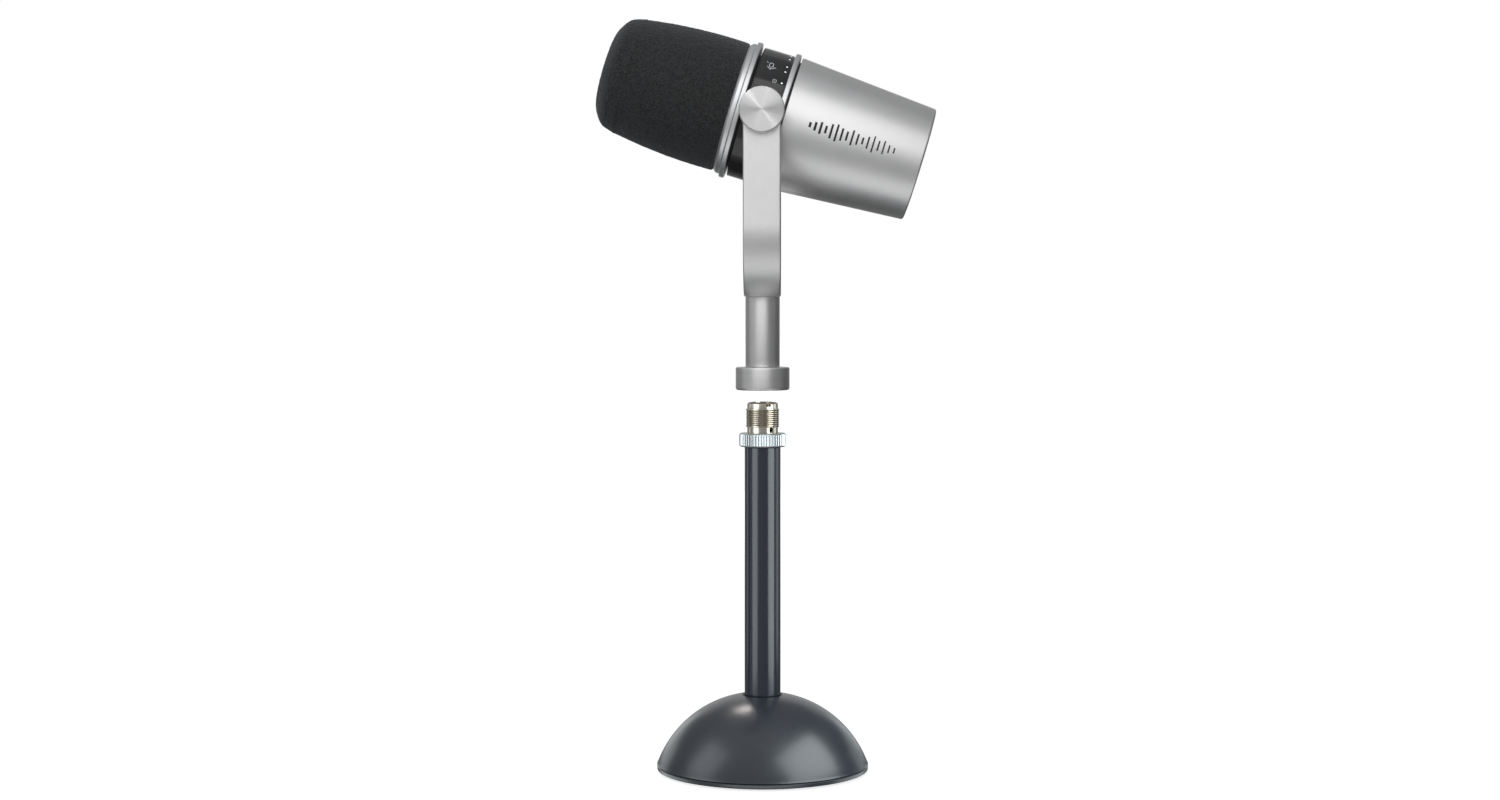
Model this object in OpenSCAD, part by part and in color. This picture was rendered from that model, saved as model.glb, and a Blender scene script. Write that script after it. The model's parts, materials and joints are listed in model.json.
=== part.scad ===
// Desktop microphone on a domed table stand, in millimetres.
// The origin is the middle of the base's underside, +Z is up, and the microphone's nose points
// towards -X. The head is drawn lifted just clear of the stand's thread.

/* [Stand] */
// Diameter of the base at its widest
base_d = 100; // [98:1:110]
// Height of the dome from its rim to its crown
dome_h = 33.5; // [32:0.1:35]
// Outer diameter of the upright tube
tube_d = 17; // [16.6:0.1:17.4]
// Height of the tube's upper end above the table
tube_top = 152.9; // [140:0.1:170]

/* [Stand thread] */
// Outer diameter of the 5/8 inch, 27 threads per inch, microphone thread
thread_d = 15.85; // [15.75:0.05:15.9]
// Distance from one thread crest to the next
thread_pitch = 0.94; // [0.9:0.01:1]
// Outer diameter of the knurled lock ring
lock_ring_d = 22.2; // [21:0.2:24]
// Height of the knurled lock ring
lock_ring_h = 6.5; // [6:0.1:6.8]

/* [Mount] */
// Clear gap between the top of the stand's thread and the collar
mount_gap = 5.7; // [4:0.1:12]
// Outer diameter of the captive collar
collar_d = 25.5; // [24:0.1:27]
// Height of the captive collar
collar_h = 10.85; // [10.5:0.05:12]
// Diameter of the stem between the collar and the yoke
stem_d = 16.2; // [16.2:0.1:17]
// Length of the stem that shows
stem_h = 33; // [28:1:40]

/* [Yoke] */
// Width across the outer faces of the yoke's arms
yoke_span = 80; // [79:0.5:82]
// Thickness of the yoke's strip
yoke_t = 4.5; // [4:0.1:4.6]
// Width of the yoke's strip
yoke_w = 17.3; // [16:0.1:18]
// Outer radius of the yoke's two lower corners
corner_r = 32; // [28:0.5:34]
// Length of the straight part of each arm, up to the pivot
arm_h = 52.6; // [50:0.2:60]
// Diameter of the clamp knobs
knob_d = 20.9; // [19:0.1:24]

/* [Head] */
// Angle of the nose above level
head_tilt = 17; // [0:1:30]
// Distance from the pivot to the windscreen's front face
nose_len = 77.5; // [77:0.1:78]
// Distance from the pivot to the housing's rear rim
tail_len = 77.1; // [75:0.1:78]
// Diameter of the control band
band_d = 62.4; // [62:0.1:62.8]
// Diameter of the two raised trim rings
ring_d = 65.7; // [65:0.1:66.4]

/* [Hidden] */
$fn = 96;
gap = 0.05; // between pieces that touch
slack = 0.1; // wider gap, between pieces that are put together loosely

// Stand
rim_z = 2.9; // height at which the dome is widest
lip_z = 0.8; // lower edge of the dome's metal
lip_r = base_d / 2 - 0.7;
dome_rim_r = base_d / 2 - 0.1;
dome_top = rim_z + dome_h;
crown_r = 62; // the dome's crown is an arc of this radius, and its shoulder a tighter one
crown_angle = 12; // half the crown's angle
crown_dir = [sin(crown_angle), cos(crown_angle)];
crown_centre = [0, dome_top - crown_r];
crown_to_rim = [dome_rim_r, rim_z] - crown_centre;
shoulder_r = crown_r - (crown_to_rim * crown_to_rim - crown_r * crown_r)
  / (2 * (crown_to_rim * crown_dir - crown_r));
shoulder_centre = crown_centre + (crown_r - shoulder_r) * crown_dir;
rim_angle = atan2(rim_z - shoulder_centre.y, dome_rim_r - shoulder_centre.x);
dome_wall = 7.5;
pad_r = 46.5;
pad_h = 2.6;
boss_r = 13;
boss_z = 14;
socket_z = 30.4; // floor of the socket that the tube stands in
stud_r = 5;
tube_r = tube_d / 2;
tube_bore_r = 7;
washer_h = 1.2;
nut_h = 6;
nut_r = 9.8; // across its corners

// Thread
thread_r = thread_d / 2;
lower_thread_r = thread_r - 0.2; // eased where the lock ring sits
thread_depth = 0.55;
thread_flat = 0.12; // half the width of a crest
neck_r = thread_r - 0.65;
insert_bore_r = 5;
neck_z = tube_top + lock_ring_h + 0.1;
thread_z = neck_z + 2.8;
thread_turns = 9;
plain_z = thread_z + thread_turns * thread_pitch;
thread_top = plain_z + 3.2;

// Mount
collar_z = thread_top + mount_gap;
female_r = thread_r + 0.05;
female_h = 7.2;
flange_r = 7.3;
washer_z = collar_z + female_h + gap;
flange_z = washer_z + 0.85;
lip_under_z = flange_z + 1.25;
post_r = 6.3;
sleeve_z = collar_z + collar_h + slack;
sleeve_r = stem_d / 2;
yoke_z = sleeve_z + stem_h;
tenon_r = 5;
screw_r = 2;
spot_z = yoke_z + yoke_t - 1; // flat seat cut in the bottom of the yoke
screw_washer_h = 0.75;
screw_head_r = 3.5;

// Yoke and pivot
arm_out = yoke_span / 2;
arm_in = arm_out - yoke_t;
bend_z = yoke_z + corner_r;
pivot_z = bend_z + arm_h;
pivot_bore_r = 3;
pivot_pin_r = 2.93;
knob_washer_h = 0.6;
knob_in = arm_out + knob_washer_h + gap;
knob_out = 45;
stud_in = 24.5;

// Head, along its own axis: negative in front of the pivot, positive behind it
band_r = band_d / 2;
ring_r = ring_d / 2;
boss_out = arm_in - 2.3; // flat faces of the pivot bosses
bezel_a = -15.2;
bezel_end_a = -11.9;
lip_a = -11.8;
lip_end_a = -9.4;
band_a = -8.2;
band_end_a = 6.85;
rear_ring_a = 6.9;
rear_ring_end_a = 9.4;
housing_a = 10.3;
housing_r = 31.75;
tail_r = 26.85;
rim_inner_r = 24.6;
panel_r = rim_inner_r - slack;
panel_a = 66.15;
panel_end_a = 69;
chassis_r = 27.2;
chassis_bore_r = 25.2;
chassis_a = -15;
chassis_end_a = 14;
grille_r = 25;
grille_front_a = -70.4;
screen_wall_r = grille_r + 0.15;
screen_rear_a = -15.35;
screen_max_r = 31.15;
screen_max_a = -24;
screen_corner_r = 15;
screen_corner_a = -64; // the bulging side ends and the corner starts about here
panel_angle = 70; // the touch panel reaches this far each side of the top
led_a = 4.8;
led_angles = [-61, -48, -41, -27, -17, 17, 27, 41, 48, 61];

panel_pocket_r = 29.8; // the touch panel and the light pipes sit on this radius
pivot_insert_r = 5;
pivot_insert_in = 22.5; // inner ends of the pivot inserts, from the head's axis
cut_l = 100; // a cutter this long passes through the whole head

// Capsule, held in a carrier in front of the chassis
capsule_a = -56;
capsule_l = 28;
capsule_r = 15;
capsule_bore_r = 13.2;
diaphragm_a = -52.2;
diaphragm_h = 0.3;
magnet_a = -49;
carrier_a = -36;
carrier_r = 21.5;
carrier_bore_r = 19.6;

// Main board: it lies along the head, above the axis
board_a = 18.5;
board_l = 47.4;
board_w = 34;
board_z = 6.5;
board_h = 1.6;
board_top = board_z + board_h;
board_holes = [[22, -14], [22, 14], [46, -14], [46, 14]];
tray_z = 3.4; // underside of the tray that holds the board
tray_h = 1.2;

// Rear connectors: sideways and upward from the head's axis, and where they start along it
xlr_at = [0, -8];
xlr_a = 53.6;
xlr_r = 9.4;
xlr_pin_a = 50.5;
xlr_pin_r = 1.2;
xlr_pin_circle = 4.45;
xlr_pin_angles = [30, 150, 270];
usb_at = [-9, board_top + 1.6];
usb_a = 60.5;
usb_wall = 0.6;
jack_at = [9, board_top + 3.5];
jack_a = 57;
jack_nose_r = 3.4;
jack_bore_r = 1.8;
tie_circle = 20.6;
tie_angles = [90, 188, -8];

// Points of an arc about a centre, from one angle to another
function arc(centre, r, from, to, steps = 8) =
  [for (i = [0:steps]) let (t = from + (to - from) * i / steps) centre + r * [cos(t), sin(t)]];

// Outline of a round bar with evenly spaced ridges
function ridges(r, depth, count) =
  [for (i = [0:2 * count - 1]) let (t = 180 * i / count) (r - (i % 2) * depth) * [cos(t), sin(t)]];

// A cylindrical sleeve
module sleeve(r, bore, h) {
  difference() {
    cylinder(r = r, h = h);
    translate([0, 0, -1]) cylinder(r = bore, h = h + 2);
  }
}

// A turned piece with a knurled edge and chamfered ends
module knurled(r, h, chamfer, depth, count) {
  intersection() {
    linear_extrude(height = h) polygon(ridges(r, depth, count));
    rotate_extrude() polygon([
      [0, 0], [r - chamfer, 0], [r + 0.01, chamfer], [r + 0.01, h - chamfer], [r - chamfer, h], [0, h]
    ]);
  }
}

// Turns a piece drawn upright so that it lies along +X
module along_x() {
  rotate([0, 90, 0]) children();
}

// Turns a piece drawn upright so that it points outwards from the pivot, on one side
module pivot_side(side) {
  translate([0, 0, pivot_z]) rotate([side * -90, 0, 0]) children();
}

// The head's own frame: +X runs to the rear along its axis, and the pivot is at the origin
module in_head() {
  translate([0, 0, pivot_z]) rotate([0, head_tilt, 0]) children();
}

// A ring section about the head's axis, from side to side over the top
module top_arc(inner, outer, from_a, to_a, half_angle) {
  along_x() rotate([0, 0, 180 - half_angle]) rotate_extrude(angle = 2 * half_angle)
    polygon([[inner, from_a], [outer, from_a], [outer, to_a], [inner, to_a]]);
}

// Places a child along the head at a point of the rear panel
module at_panel(place, a) {
  translate([a, place.x, place.y]) along_x() children();
}

// The dome as a solid, or the space that is left inside it by a wall of the given thickness
module dome_solid(wall) {
  rotate_extrude() polygon([
    [0, lip_z], [lip_r - wall, lip_z],
    each arc(shoulder_centre, shoulder_r - wall, rim_angle, 90 - crown_angle, 18),
    each arc(crown_centre, crown_r - wall, 91.5 - crown_angle, 90, 5)
  ]);
}

module base_dome() {
  color([0.2, 0.22, 0.25]) difference() {
    dome_solid(0);
    difference() {
      dome_solid(dome_wall);
      translate([0, 0, boss_z]) cylinder(r = boss_r, h = base_d);
    }
    translate([0, 0, -1]) cylinder(r = pad_r + slack, h = pad_h + 1);
    translate([0, 0, -1]) cylinder(r = stud_r + slack, h = base_d);
    translate([0, 0, socket_z]) cylinder(r = tube_r + slack, h = base_d);
    translate([0, 0, dome_top - 2]) cylinder(r1 = tube_r + slack, r2 = tube_r + 3, h = 3);
  }
}

module base_pad() {
  color([0.12, 0.12, 0.13]) cylinder(r = pad_r, h = pad_h - gap);
}

module tube_washer() {
  color([0.75, 0.76, 0.78]) translate([0, 0, boss_z - washer_h - gap])
    sleeve(stud_r + 4, stud_r + 0.2, washer_h);
}

module tube_nut() {
  color([0.75, 0.76, 0.78]) translate([0, 0, boss_z - washer_h - 2 * gap - nut_h]) difference() {
    cylinder(r = nut_r, h = nut_h, $fn = 6);
    translate([0, 0, -1]) cylinder(r = stud_r + gap, h = nut_h + 2);
  }
}

module lower_plug() {
  stud_end = boss_z - washer_h - nut_h - 2;
  color([0.6, 0.6, 0.62]) union() {
    translate([0, 0, stud_end]) cylinder(r = stud_r, h = socket_z - stud_end + 1);
    translate([0, 0, socket_z + gap]) cylinder(r = tube_bore_r - gap, h = 14);
  }
}

module stand_tube() {
  color([0.19, 0.2, 0.23]) translate([0, 0, socket_z + gap])
    sleeve(tube_r, tube_bore_r, tube_top - socket_z - gap);
}

// Half profile of a threaded length: a V groove for each turn, between flat crests
function thread_profile(r, from_z, turns) = [
  [r, from_z],
  for (i = [0:turns - 1]) let (z = from_z + i * thread_pitch) each [
    [r, z + thread_flat], [r - thread_depth, z + thread_pitch / 2],
    [r, z + thread_pitch - thread_flat]
  ],
  [r, from_z + turns * thread_pitch]
];

module thread_insert() {
  plug_z = tube_top - 16;
  window_w = 1.9;
  slot_w = 2.6;
  slot_depth = 2;
  color([0.8, 0.76, 0.66]) difference() {
    rotate_extrude() polygon([
      [insert_bore_r, plug_z], [tube_bore_r - gap, plug_z], [tube_bore_r - gap, tube_top + gap],
      [lower_thread_r, tube_top + gap],
      each thread_profile(lower_thread_r, tube_top + 0.3, 6),
      [lower_thread_r, neck_z - 0.4], [neck_r, neck_z], [neck_r, thread_z],
      each thread_profile(thread_r, thread_z, thread_turns),
      [neck_r, plain_z], [neck_r, thread_top - 0.8], [neck_r - 0.8, thread_top],
      [insert_bore_r, thread_top]
    ]);
    rotate([0, 0, -56]) translate([0, -window_w / 2, neck_z + 0.2])
      cube([thread_r + 1, window_w, thread_z - neck_z - 0.3]);
    rotate([0, 0, -67]) translate([-thread_r - 1, -slot_w / 2, thread_top - slot_depth])
      cube([2 * thread_r + 2, slot_w, slot_depth + 1]);
  }
}

module lock_ring() {
  color([0.8, 0.82, 0.84]) translate([0, 0, tube_top + gap]) difference() {
    knurled(lock_ring_d / 2, lock_ring_h, 0.7, 0.35, 50);
    translate([0, 0, -1]) cylinder(r = lower_thread_r + slack, h = lock_ring_h + 2);
  }
}

module thrust_washer() {
  color([0.9, 0.9, 0.86]) translate([0, 0, washer_z]) sleeve(flange_r, 4.05, 0.8);
}

module collar() {
  outer = collar_d / 2;
  bottom_round = 1.1;
  top_round = 0.7;
  top = collar_z + collar_h;
  step_z = collar_z + female_h;
  color([0.66, 0.66, 0.67]) rotate_extrude() polygon([
    [female_r + 0.6, collar_z],
    each arc([outer - bottom_round, collar_z + bottom_round], bottom_round, -90, 0, 5),
    each arc([outer - top_round, top - top_round], top_round, 0, 90, 4),
    [post_r + slack, top], [post_r + slack, lip_under_z], [flange_r + 0.2, lip_under_z],
    [flange_r + 0.2, step_z], [female_r, step_z], [female_r, collar_z + 0.6]
  ]);
}

module stem_post() {
  color([0.62, 0.62, 0.64]) difference() {
    rotate_extrude() polygon([
      [0, flange_z - 0.75], [4, flange_z - 0.75], [4, flange_z], [flange_r, flange_z],
      [flange_r, lip_under_z - gap], [post_r, lip_under_z - gap], [post_r, yoke_z - gap],
      [tenon_r, yoke_z - gap], [tenon_r, spot_z - 0.3], [0, spot_z - 0.3]
    ]);
    translate([0, 0, spot_z - 17]) cylinder(r = screw_r + gap, h = 20);
  }
}

module stem_sleeve() {
  color([0.66, 0.66, 0.67]) translate([0, 0, sleeve_z])
    sleeve(sleeve_r, post_r + gap, stem_h - gap);
}

// Cross-section of the yoke's strip: outwards, then across its width
function strip(inner, outer) = let (w = yoke_w / 2) [
  [inner + 0.4, -w], [outer - 0.7, -w], [outer, 0.7 - w], [outer, w - 0.7],
  [outer - 0.7, w], [inner + 0.4, w], [inner, w - 0.4], [inner, 0.4 - w]
];

module yoke() {
  w = yoke_w / 2;
  flat = arm_out - corner_r; // half the length of the flat bottom
  color([0.72, 0.72, 0.73]) difference() {
    union() {
      translate([0, flat, bend_z]) rotate([90, 0, 0]) linear_extrude(height = 2 * flat)
        polygon([for (p = strip(corner_r - yoke_t, corner_r)) [p.y, -p.x]]);
      for (side = [-1, 1]) {
        translate([0, side * flat, bend_z]) rotate([-90, 0, 90]) rotate([0, 0, 45 - side * 45])
          rotate_extrude(angle = 90) polygon(strip(corner_r - yoke_t, corner_r));
        translate([0, 0, bend_z]) linear_extrude(height = arm_h)
          polygon([for (p = strip(arm_in, arm_out)) [p.y, side * p.x]]);
        pivot_side(side) rotate_extrude() polygon([
          [0, arm_in], [w - 0.4, arm_in], [w, arm_in + 0.4], [w, arm_out - 0.7],
          [w - 0.7, arm_out], [0, arm_out]
        ]);
      }
    }
    translate([0, -arm_out - 1, pivot_z]) rotate([-90, 0, 0])
      cylinder(r = pivot_bore_r, h = yoke_span + 2);
    translate([0, 0, yoke_z - 1]) cylinder(r = tenon_r + gap, h = yoke_t + 2);
    translate([0, 0, spot_z]) cylinder(r = 7, h = 8);
  }
}

module stem_screw() {
  head_z = spot_z + gap + screw_washer_h + gap;
  color([0.3, 0.3, 0.32]) difference() {
    union() {
      translate([0, 0, head_z]) cylinder(r = screw_head_r, h = 3.4);
      translate([0, 0, head_z - 15]) cylinder(r = screw_r, h = 15.5);
    }
    translate([0, 0, head_z + 1.4]) cylinder(r = 1.75, h = 3, $fn = 6);
  }
}

module stem_screw_washer() {
  color([0.75, 0.76, 0.78]) translate([0, 0, spot_z + gap])
    sleeve(6.5, screw_r + 0.2, screw_washer_h);
}

module arm_washers() {
  color([0.15, 0.15, 0.15]) for (side = [-1, 1]) pivot_side(side)
    translate([0, 0, arm_out + gap / 2]) sleeve(8, pivot_bore_r, knob_washer_h - gap / 2);
}

module pivot_spacers() {
  color([0.12, 0.12, 0.12]) for (side = [-1, 1]) pivot_side(side)
    translate([0, 0, boss_out + gap]) sleeve(8.2, pivot_bore_r, arm_in - boss_out - 2 * gap);
}

// A turned clamp knob with a fine straight knurl and a blind bore for its stud
module knob(side) {
  h = knob_out - knob_in;
  color([0.78, 0.78, 0.79]) pivot_side(side) translate([0, 0, knob_in]) difference() {
    knurled(knob_d / 2, h, 0.45, 0.18, 72);
    translate([0, 0, -1]) cylinder(r = pivot_pin_r, h = h - 0.6);
  }
}

module stud(side) {
  color([0.55, 0.55, 0.57]) pivot_side(side) translate([0, 0, stud_in])
    cylinder(r = pivot_pin_r, h = knob_out - 1.7 - stud_in);
}

module near_knob() knob(-1);

module near_stud() stud(-1);

module far_knob() knob(1);

module far_stud() stud(1);

// Radius of the windscreen's bulging side
function screen_r(a) = screen_max_r - 0.00206 * pow(a - screen_max_a, 2);

// The foam cap: a bulging side, a well rounded corner and a nearly flat front
module windscreen() {
  corner_slope = 10;
  corner_a = screen_corner_r - nose_len;
  corner = [screen_r(screen_corner_a - 1) - screen_corner_r * cos(corner_slope), corner_a];
  color([0.16, 0.16, 0.16]) in_head() along_x() rotate_extrude() polygon([
    [screen_wall_r, screen_rear_a], [screen_r(screen_rear_a) - 0.9, screen_rear_a],
    for (a = [screen_rear_a - 0.6:-5.2:screen_corner_a]) [screen_r(a), a],
    each arc(corner, screen_corner_r, -corner_slope, -90, 10),
    [0, -nose_len - 0.3], [0, grille_front_a - 0.2],
    each arc([screen_wall_r - 7.2, grille_front_a + 7], 7.2, -90, 0, 6)
  ]);
}

// The hard basket under the foam, with slots round its side and holes in its front
module grille() {
  wall = 0.9;
  front = grille_front_a;
  slot_rows = [-60, -49, -38, -27];
  color([0.1, 0.1, 0.1]) in_head() difference() {
    along_x() rotate_extrude() polygon([
      [carrier_r + 0.2, chassis_a - gap], [grille_r, chassis_a - gap],
      each arc([grille_r - 7, front + 7], 7, 0, -90, 6),
      [0, front], [0, front + wall],
      each arc([grille_r - 7, front + 7], 7 - wall, -90, 0, 6),
      [grille_r - wall, chassis_a - 1.1], [carrier_r + 0.2, chassis_a - 1.1]
    ]);
    for (a = slot_rows, t = [0:30:330])
      rotate([t, 0, 0]) translate([a, -2.5, grille_r - 2]) cube([7, 5, 4]);
    for (t = [0:60:300])
      rotate([t, 0, 0]) translate([front - 1, 0, 9]) along_x() cylinder(r = 3, h = 3);
  }
}

module front_bezel() {
  color([0.72, 0.72, 0.73]) in_head() along_x() rotate_extrude() polygon([
    [chassis_r + gap, bezel_a], [30.2, bezel_a], [31.45, bezel_a + 1.4], [31.55, bezel_end_a - 0.3],
    [31.2, bezel_end_a], [chassis_r + gap, bezel_end_a]
  ]);
}

// A raised trim ring with rounded edges
module trim_ring(from_a, to_a) {
  round_r = 0.5;
  color([0.75, 0.75, 0.76]) in_head() along_x() rotate_extrude() polygon([
    [chassis_r + gap, from_a],
    each arc([ring_r - round_r, from_a + round_r], round_r, -90, 0, 3),
    each arc([ring_r - round_r, to_a - round_r], round_r, 0, 90, 3),
    [chassis_r + gap, to_a]
  ]);
}

module front_lip_ring() trim_ring(lip_a, lip_end_a);

module rear_ring() trim_ring(rear_ring_a, rear_ring_end_a);

// The hole through the head for both pivot inserts
module pivot_hole() {
  translate([0, -cut_l / 2, 0]) rotate([-90, 0, 0]) cylinder(r = pivot_insert_r + gap, h = cut_l);
}

// The die-cast core that carries the rings, the band, the housing and the capsule
module chassis() {
  flange_a = rear_ring_end_a + gap;
  color([0.14, 0.14, 0.15]) in_head() difference() {
    along_x() rotate_extrude() polygon([
      [carrier_r + slack, chassis_a], [chassis_r, chassis_a], [chassis_r, flange_a], [29.2, flange_a],
      [29.2, chassis_end_a], [chassis_bore_r, chassis_end_a], [chassis_bore_r, chassis_a + 2],
      [carrier_r + slack, chassis_a + 2]
    ]);
    pivot_hole();
  }
}

module pivot_inserts() {
  color([0.75, 0.65, 0.4]) for (side = [-1, 1]) in_head() rotate([side * -90, 0, 0])
    translate([0, 0, pivot_insert_in]) difference() {
      cylinder(r = pivot_insert_r, h = boss_out - pivot_insert_in);
      translate([0, 0, 1]) cylinder(r = pivot_bore_r, h = 20);
    }
}

// The black ring between the trim rings, with a pocket for the touch panel and two pivot bosses
module control_band() {
  seat_r = chassis_r + gap;
  recess_r = 28.3;
  pivot_boss_r = 8.4;
  pivot_boss_in = 29;
  color([0.09, 0.09, 0.1]) in_head() difference() {
    union() {
      along_x() rotate_extrude() polygon([
        [seat_r, band_a], [band_r - 0.2, band_a], [band_r, band_a + 0.2],
        [band_r, band_end_a - 0.2], [band_r - 0.2, band_end_a], [seat_r, band_end_a],
        [seat_r, band_end_a - 1], [recess_r, band_end_a - 1], [recess_r, band_a + 1],
        [seat_r, band_a + 1]
      ]);
      for (side = [-1, 1]) rotate([side * -90, 0, 0]) difference() {
        translate([0, 0, pivot_boss_in]) cylinder(r = pivot_boss_r, h = boss_out - pivot_boss_in);
        rotate([0, 90, 0]) translate([0, 0, -10]) cylinder(r = 30, h = 20);
      }
    }
    top_arc(panel_pocket_r, band_r + 1, band_a + 0.6, band_end_a - 0.6, panel_angle + 0.1);
    pivot_hole();
    translate([band_a - 1, -cut_l / 2, -10]) cube([0.99, cut_l, 20]);
    translate([band_end_a + 0.01, -cut_l / 2, -10]) cube([3, cut_l, 20]);
  }
}

// Places a small upright peg on the touch panel, at an angle from the top
module on_band(a, angle) {
  rotate([angle, 0, 0]) translate([a, 0, 0]) children();
}

module touch_panel() {
  color([0.05, 0.05, 0.06]) in_head() difference() {
    top_arc(panel_pocket_r + gap, band_r + 0.15, band_a + 0.65, band_end_a - 0.65, panel_angle);
    for (t = led_angles) on_band(led_a, t) translate([0, 0, 29]) cylinder(r = 0.55, h = 4);
  }
}

module light_pipes() {
  color([0.9, 0.92, 0.9]) in_head() for (t = led_angles)
    on_band(led_a, t) translate([0, 0, panel_pocket_r + slack])
      cylinder(r = 0.5, h = band_r + 0.18 - panel_pocket_r - slack);
}

module touch_board() {
  color([0.1, 0.35, 0.2]) in_head() top_arc(chassis_r + gap, 28.1, -6.5, 5.2, 60);
}

// The tapered rear shell, open at the back, with a ledge that the rear panel sits on
module housing() {
  round_r = 1;
  ledge_r = 23;
  wall = 2.4;
  slope = (housing_r - tail_r) / (tail_len - housing_a);
  color([0.72, 0.72, 0.73]) in_head() along_x() rotate_extrude() polygon([
    [29.3, housing_a], [housing_r - 0.35, housing_a], [housing_r, housing_a + 0.35],
    each arc([tail_r - round_r, tail_len - round_r], round_r, 4, 90, 5),
    [rim_inner_r + 0.3, tail_len], [rim_inner_r, tail_len - 0.3], [rim_inner_r, panel_a - gap],
    [ledge_r, panel_a - gap], [ledge_r, 63],
    [housing_r - wall - slope * (60 - housing_a), 60], [29.3 - slope, 16], [29.3, 15]
  ]);
}

module rear_panel() {
  color([0.08, 0.08, 0.09]) in_head() difference() {
    translate([panel_a, 0, 0]) along_x() cylinder(r = panel_r, h = panel_end_a - panel_a);
    at_panel(xlr_at, panel_a - 1) cylinder(r = xlr_r + 1, h = 5);
    at_panel(jack_at, panel_a - 1) cylinder(r = jack_nose_r + gap, h = 5);
    translate([panel_a - 1, usb_at.x - 4.25, usb_at.y - 1.7]) cube([5, 8.5, 3.4]);
    for (t = tie_angles) rotate([t - 90, 0, 0]) translate([panel_a - 1, 0, tie_circle]) along_x() {
      cylinder(r = 1.35, h = 5);
      translate([0, 0, 2.4]) cylinder(r = 2.5, h = 3);
    }
  }
}

module panel_screws() {
  color([0.2, 0.2, 0.22]) in_head() for (t = tie_angles)
    rotate([t - 90, 0, 0]) translate([0, 0, tie_circle]) difference() {
      union() {
        translate([panel_end_a - 1.35, 0, 0]) along_x() cylinder(r = 2.3, h = 1.3);
        translate([panel_end_a - 9, 0, 0]) along_x() cylinder(r = 1.2, h = 8);
      }
      translate([panel_end_a - 0.8, 0, 0]) along_x() cylinder(r = 0.9, h = 2, $fn = 6);
    }
}

module tie_rods() {
  from_a = chassis_end_a + 1.6;
  color([0.78, 0.7, 0.45]) in_head() for (t = tie_angles)
    rotate([t - 90, 0, 0]) translate([from_a, 0, tie_circle]) along_x() difference() {
      cylinder(r = 2.3, h = panel_a - gap - from_a);
      translate([0, 0, panel_a - from_a - 8]) cylinder(r = 1.25, h = 10);
    }
}

module xlr_shell() {
  flange_a = panel_end_a + gap;
  color([0.6, 0.6, 0.62]) in_head() at_panel(xlr_at, xlr_a) difference() {
    union() {
      cylinder(r = xlr_r + 0.9, h = flange_a - xlr_a + 0.5);
      translate([0, 0, flange_a - xlr_a]) cylinder(r = xlr_r + 2.2, h = 1);
    }
    translate([0, 0, -1]) cylinder(r = xlr_r, h = 20);
  }
}

module xlr_insert() {
  color([0.1, 0.1, 0.1]) in_head() at_panel(xlr_at, xlr_a + gap) difference() {
    cylinder(r = xlr_r - gap, h = 3.3);
    for (t = xlr_pin_angles) rotate([0, 0, t + 90]) translate([xlr_pin_circle, 0, -1])
      cylinder(r = xlr_pin_r + gap, h = 6);
  }
}

// Places a child at each contact of the three-pin connector, looking from behind
module at_pins(a) {
  for (t = xlr_pin_angles)
    at_panel(xlr_at + xlr_pin_circle * [cos(t), sin(t)], a) children();
}

module xlr_pins() {
  color([0.83, 0.7, 0.4]) in_head() at_pins(xlr_pin_a) {
    cylinder(r = xlr_pin_r, h = 17.2);
    translate([0, 0, 17.2]) cylinder(r1 = xlr_pin_r, r2 = 0.7, h = 0.8);
  }
}

module xlr_wires() {
  color([0.7, 0.2, 0.15]) in_head() for (t = xlr_pin_angles) {
    at = xlr_at + xlr_pin_circle * [cos(t), sin(t)] + [0, xlr_pin_r + gap];
    translate([xlr_pin_a + 1, at.x, at.y]) cylinder(r = 0.5, h = board_z - gap - at.y);
  }
}

// Outline of the data port, with its two lower corners cut off
function port_outline(w, h) = [
  [-w / 2, h / 2], [w / 2, h / 2], [w / 2, -h / 6], [w / 2 - h / 3, -h / 2],
  [h / 3 - w / 2, -h / 2], [-w / 2, -h / 6]
];

module usb_shell() {
  color([0.75, 0.76, 0.78]) in_head() translate([usb_a, usb_at.x, usb_at.y]) rotate([90, 0, 90])
    difference() {
      linear_extrude(height = 8.7) polygon(port_outline(8, 3));
      translate([0, 0, usb_wall]) linear_extrude(height = 9) polygon(port_outline(7.2, 2.2));
    }
}

module usb_tongue() {
  color([0.1, 0.1, 0.1]) in_head() translate([usb_a + usb_wall + gap, usb_at.x - 2.3, usb_at.y])
    cube([6.6, 4.6, 0.7]);
}

module headphone_jack() {
  color([0.12, 0.12, 0.13]) in_head() difference() {
    union() {
      translate([jack_a, jack_at.x - 3.2, board_top + gap]) cube([9, 6.4, 6.3]);
      at_panel(jack_at, jack_a + 8) cylinder(r = jack_nose_r, h = 4.7);
    }
    at_panel(jack_at, jack_a + 1) cylinder(r = jack_bore_r, h = 12);
  }
}

module board_tray() {
  color([0.15, 0.15, 0.16]) in_head() difference() {
    union() {
      translate([chassis_end_a + gap, 0, 0]) along_x() sleeve(27, 17.9, 1.5);
      translate([chassis_end_a + gap, -19, tray_z]) cube([2, 38, tray_h]);
      translate([chassis_end_a + gap, -16, tray_z]) cube([36, 32, tray_h]);
      for (p = board_holes) translate([p.x, p.y, 4]) cylinder(r = 2, h = board_z - gap - 4);
    }
    for (p = board_holes) translate([p.x, p.y, 2]) cylinder(r = 0.95, h = 8);
  }
}

module main_board() {
  color([0.08, 0.3, 0.16]) in_head() difference() {
    translate([board_a, -board_w / 2, board_z]) cube([board_l, board_w, board_h]);
    for (p = board_holes) translate([p.x, p.y, board_z - 1]) cylinder(r = 1.1, h = 4);
  }
}

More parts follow.
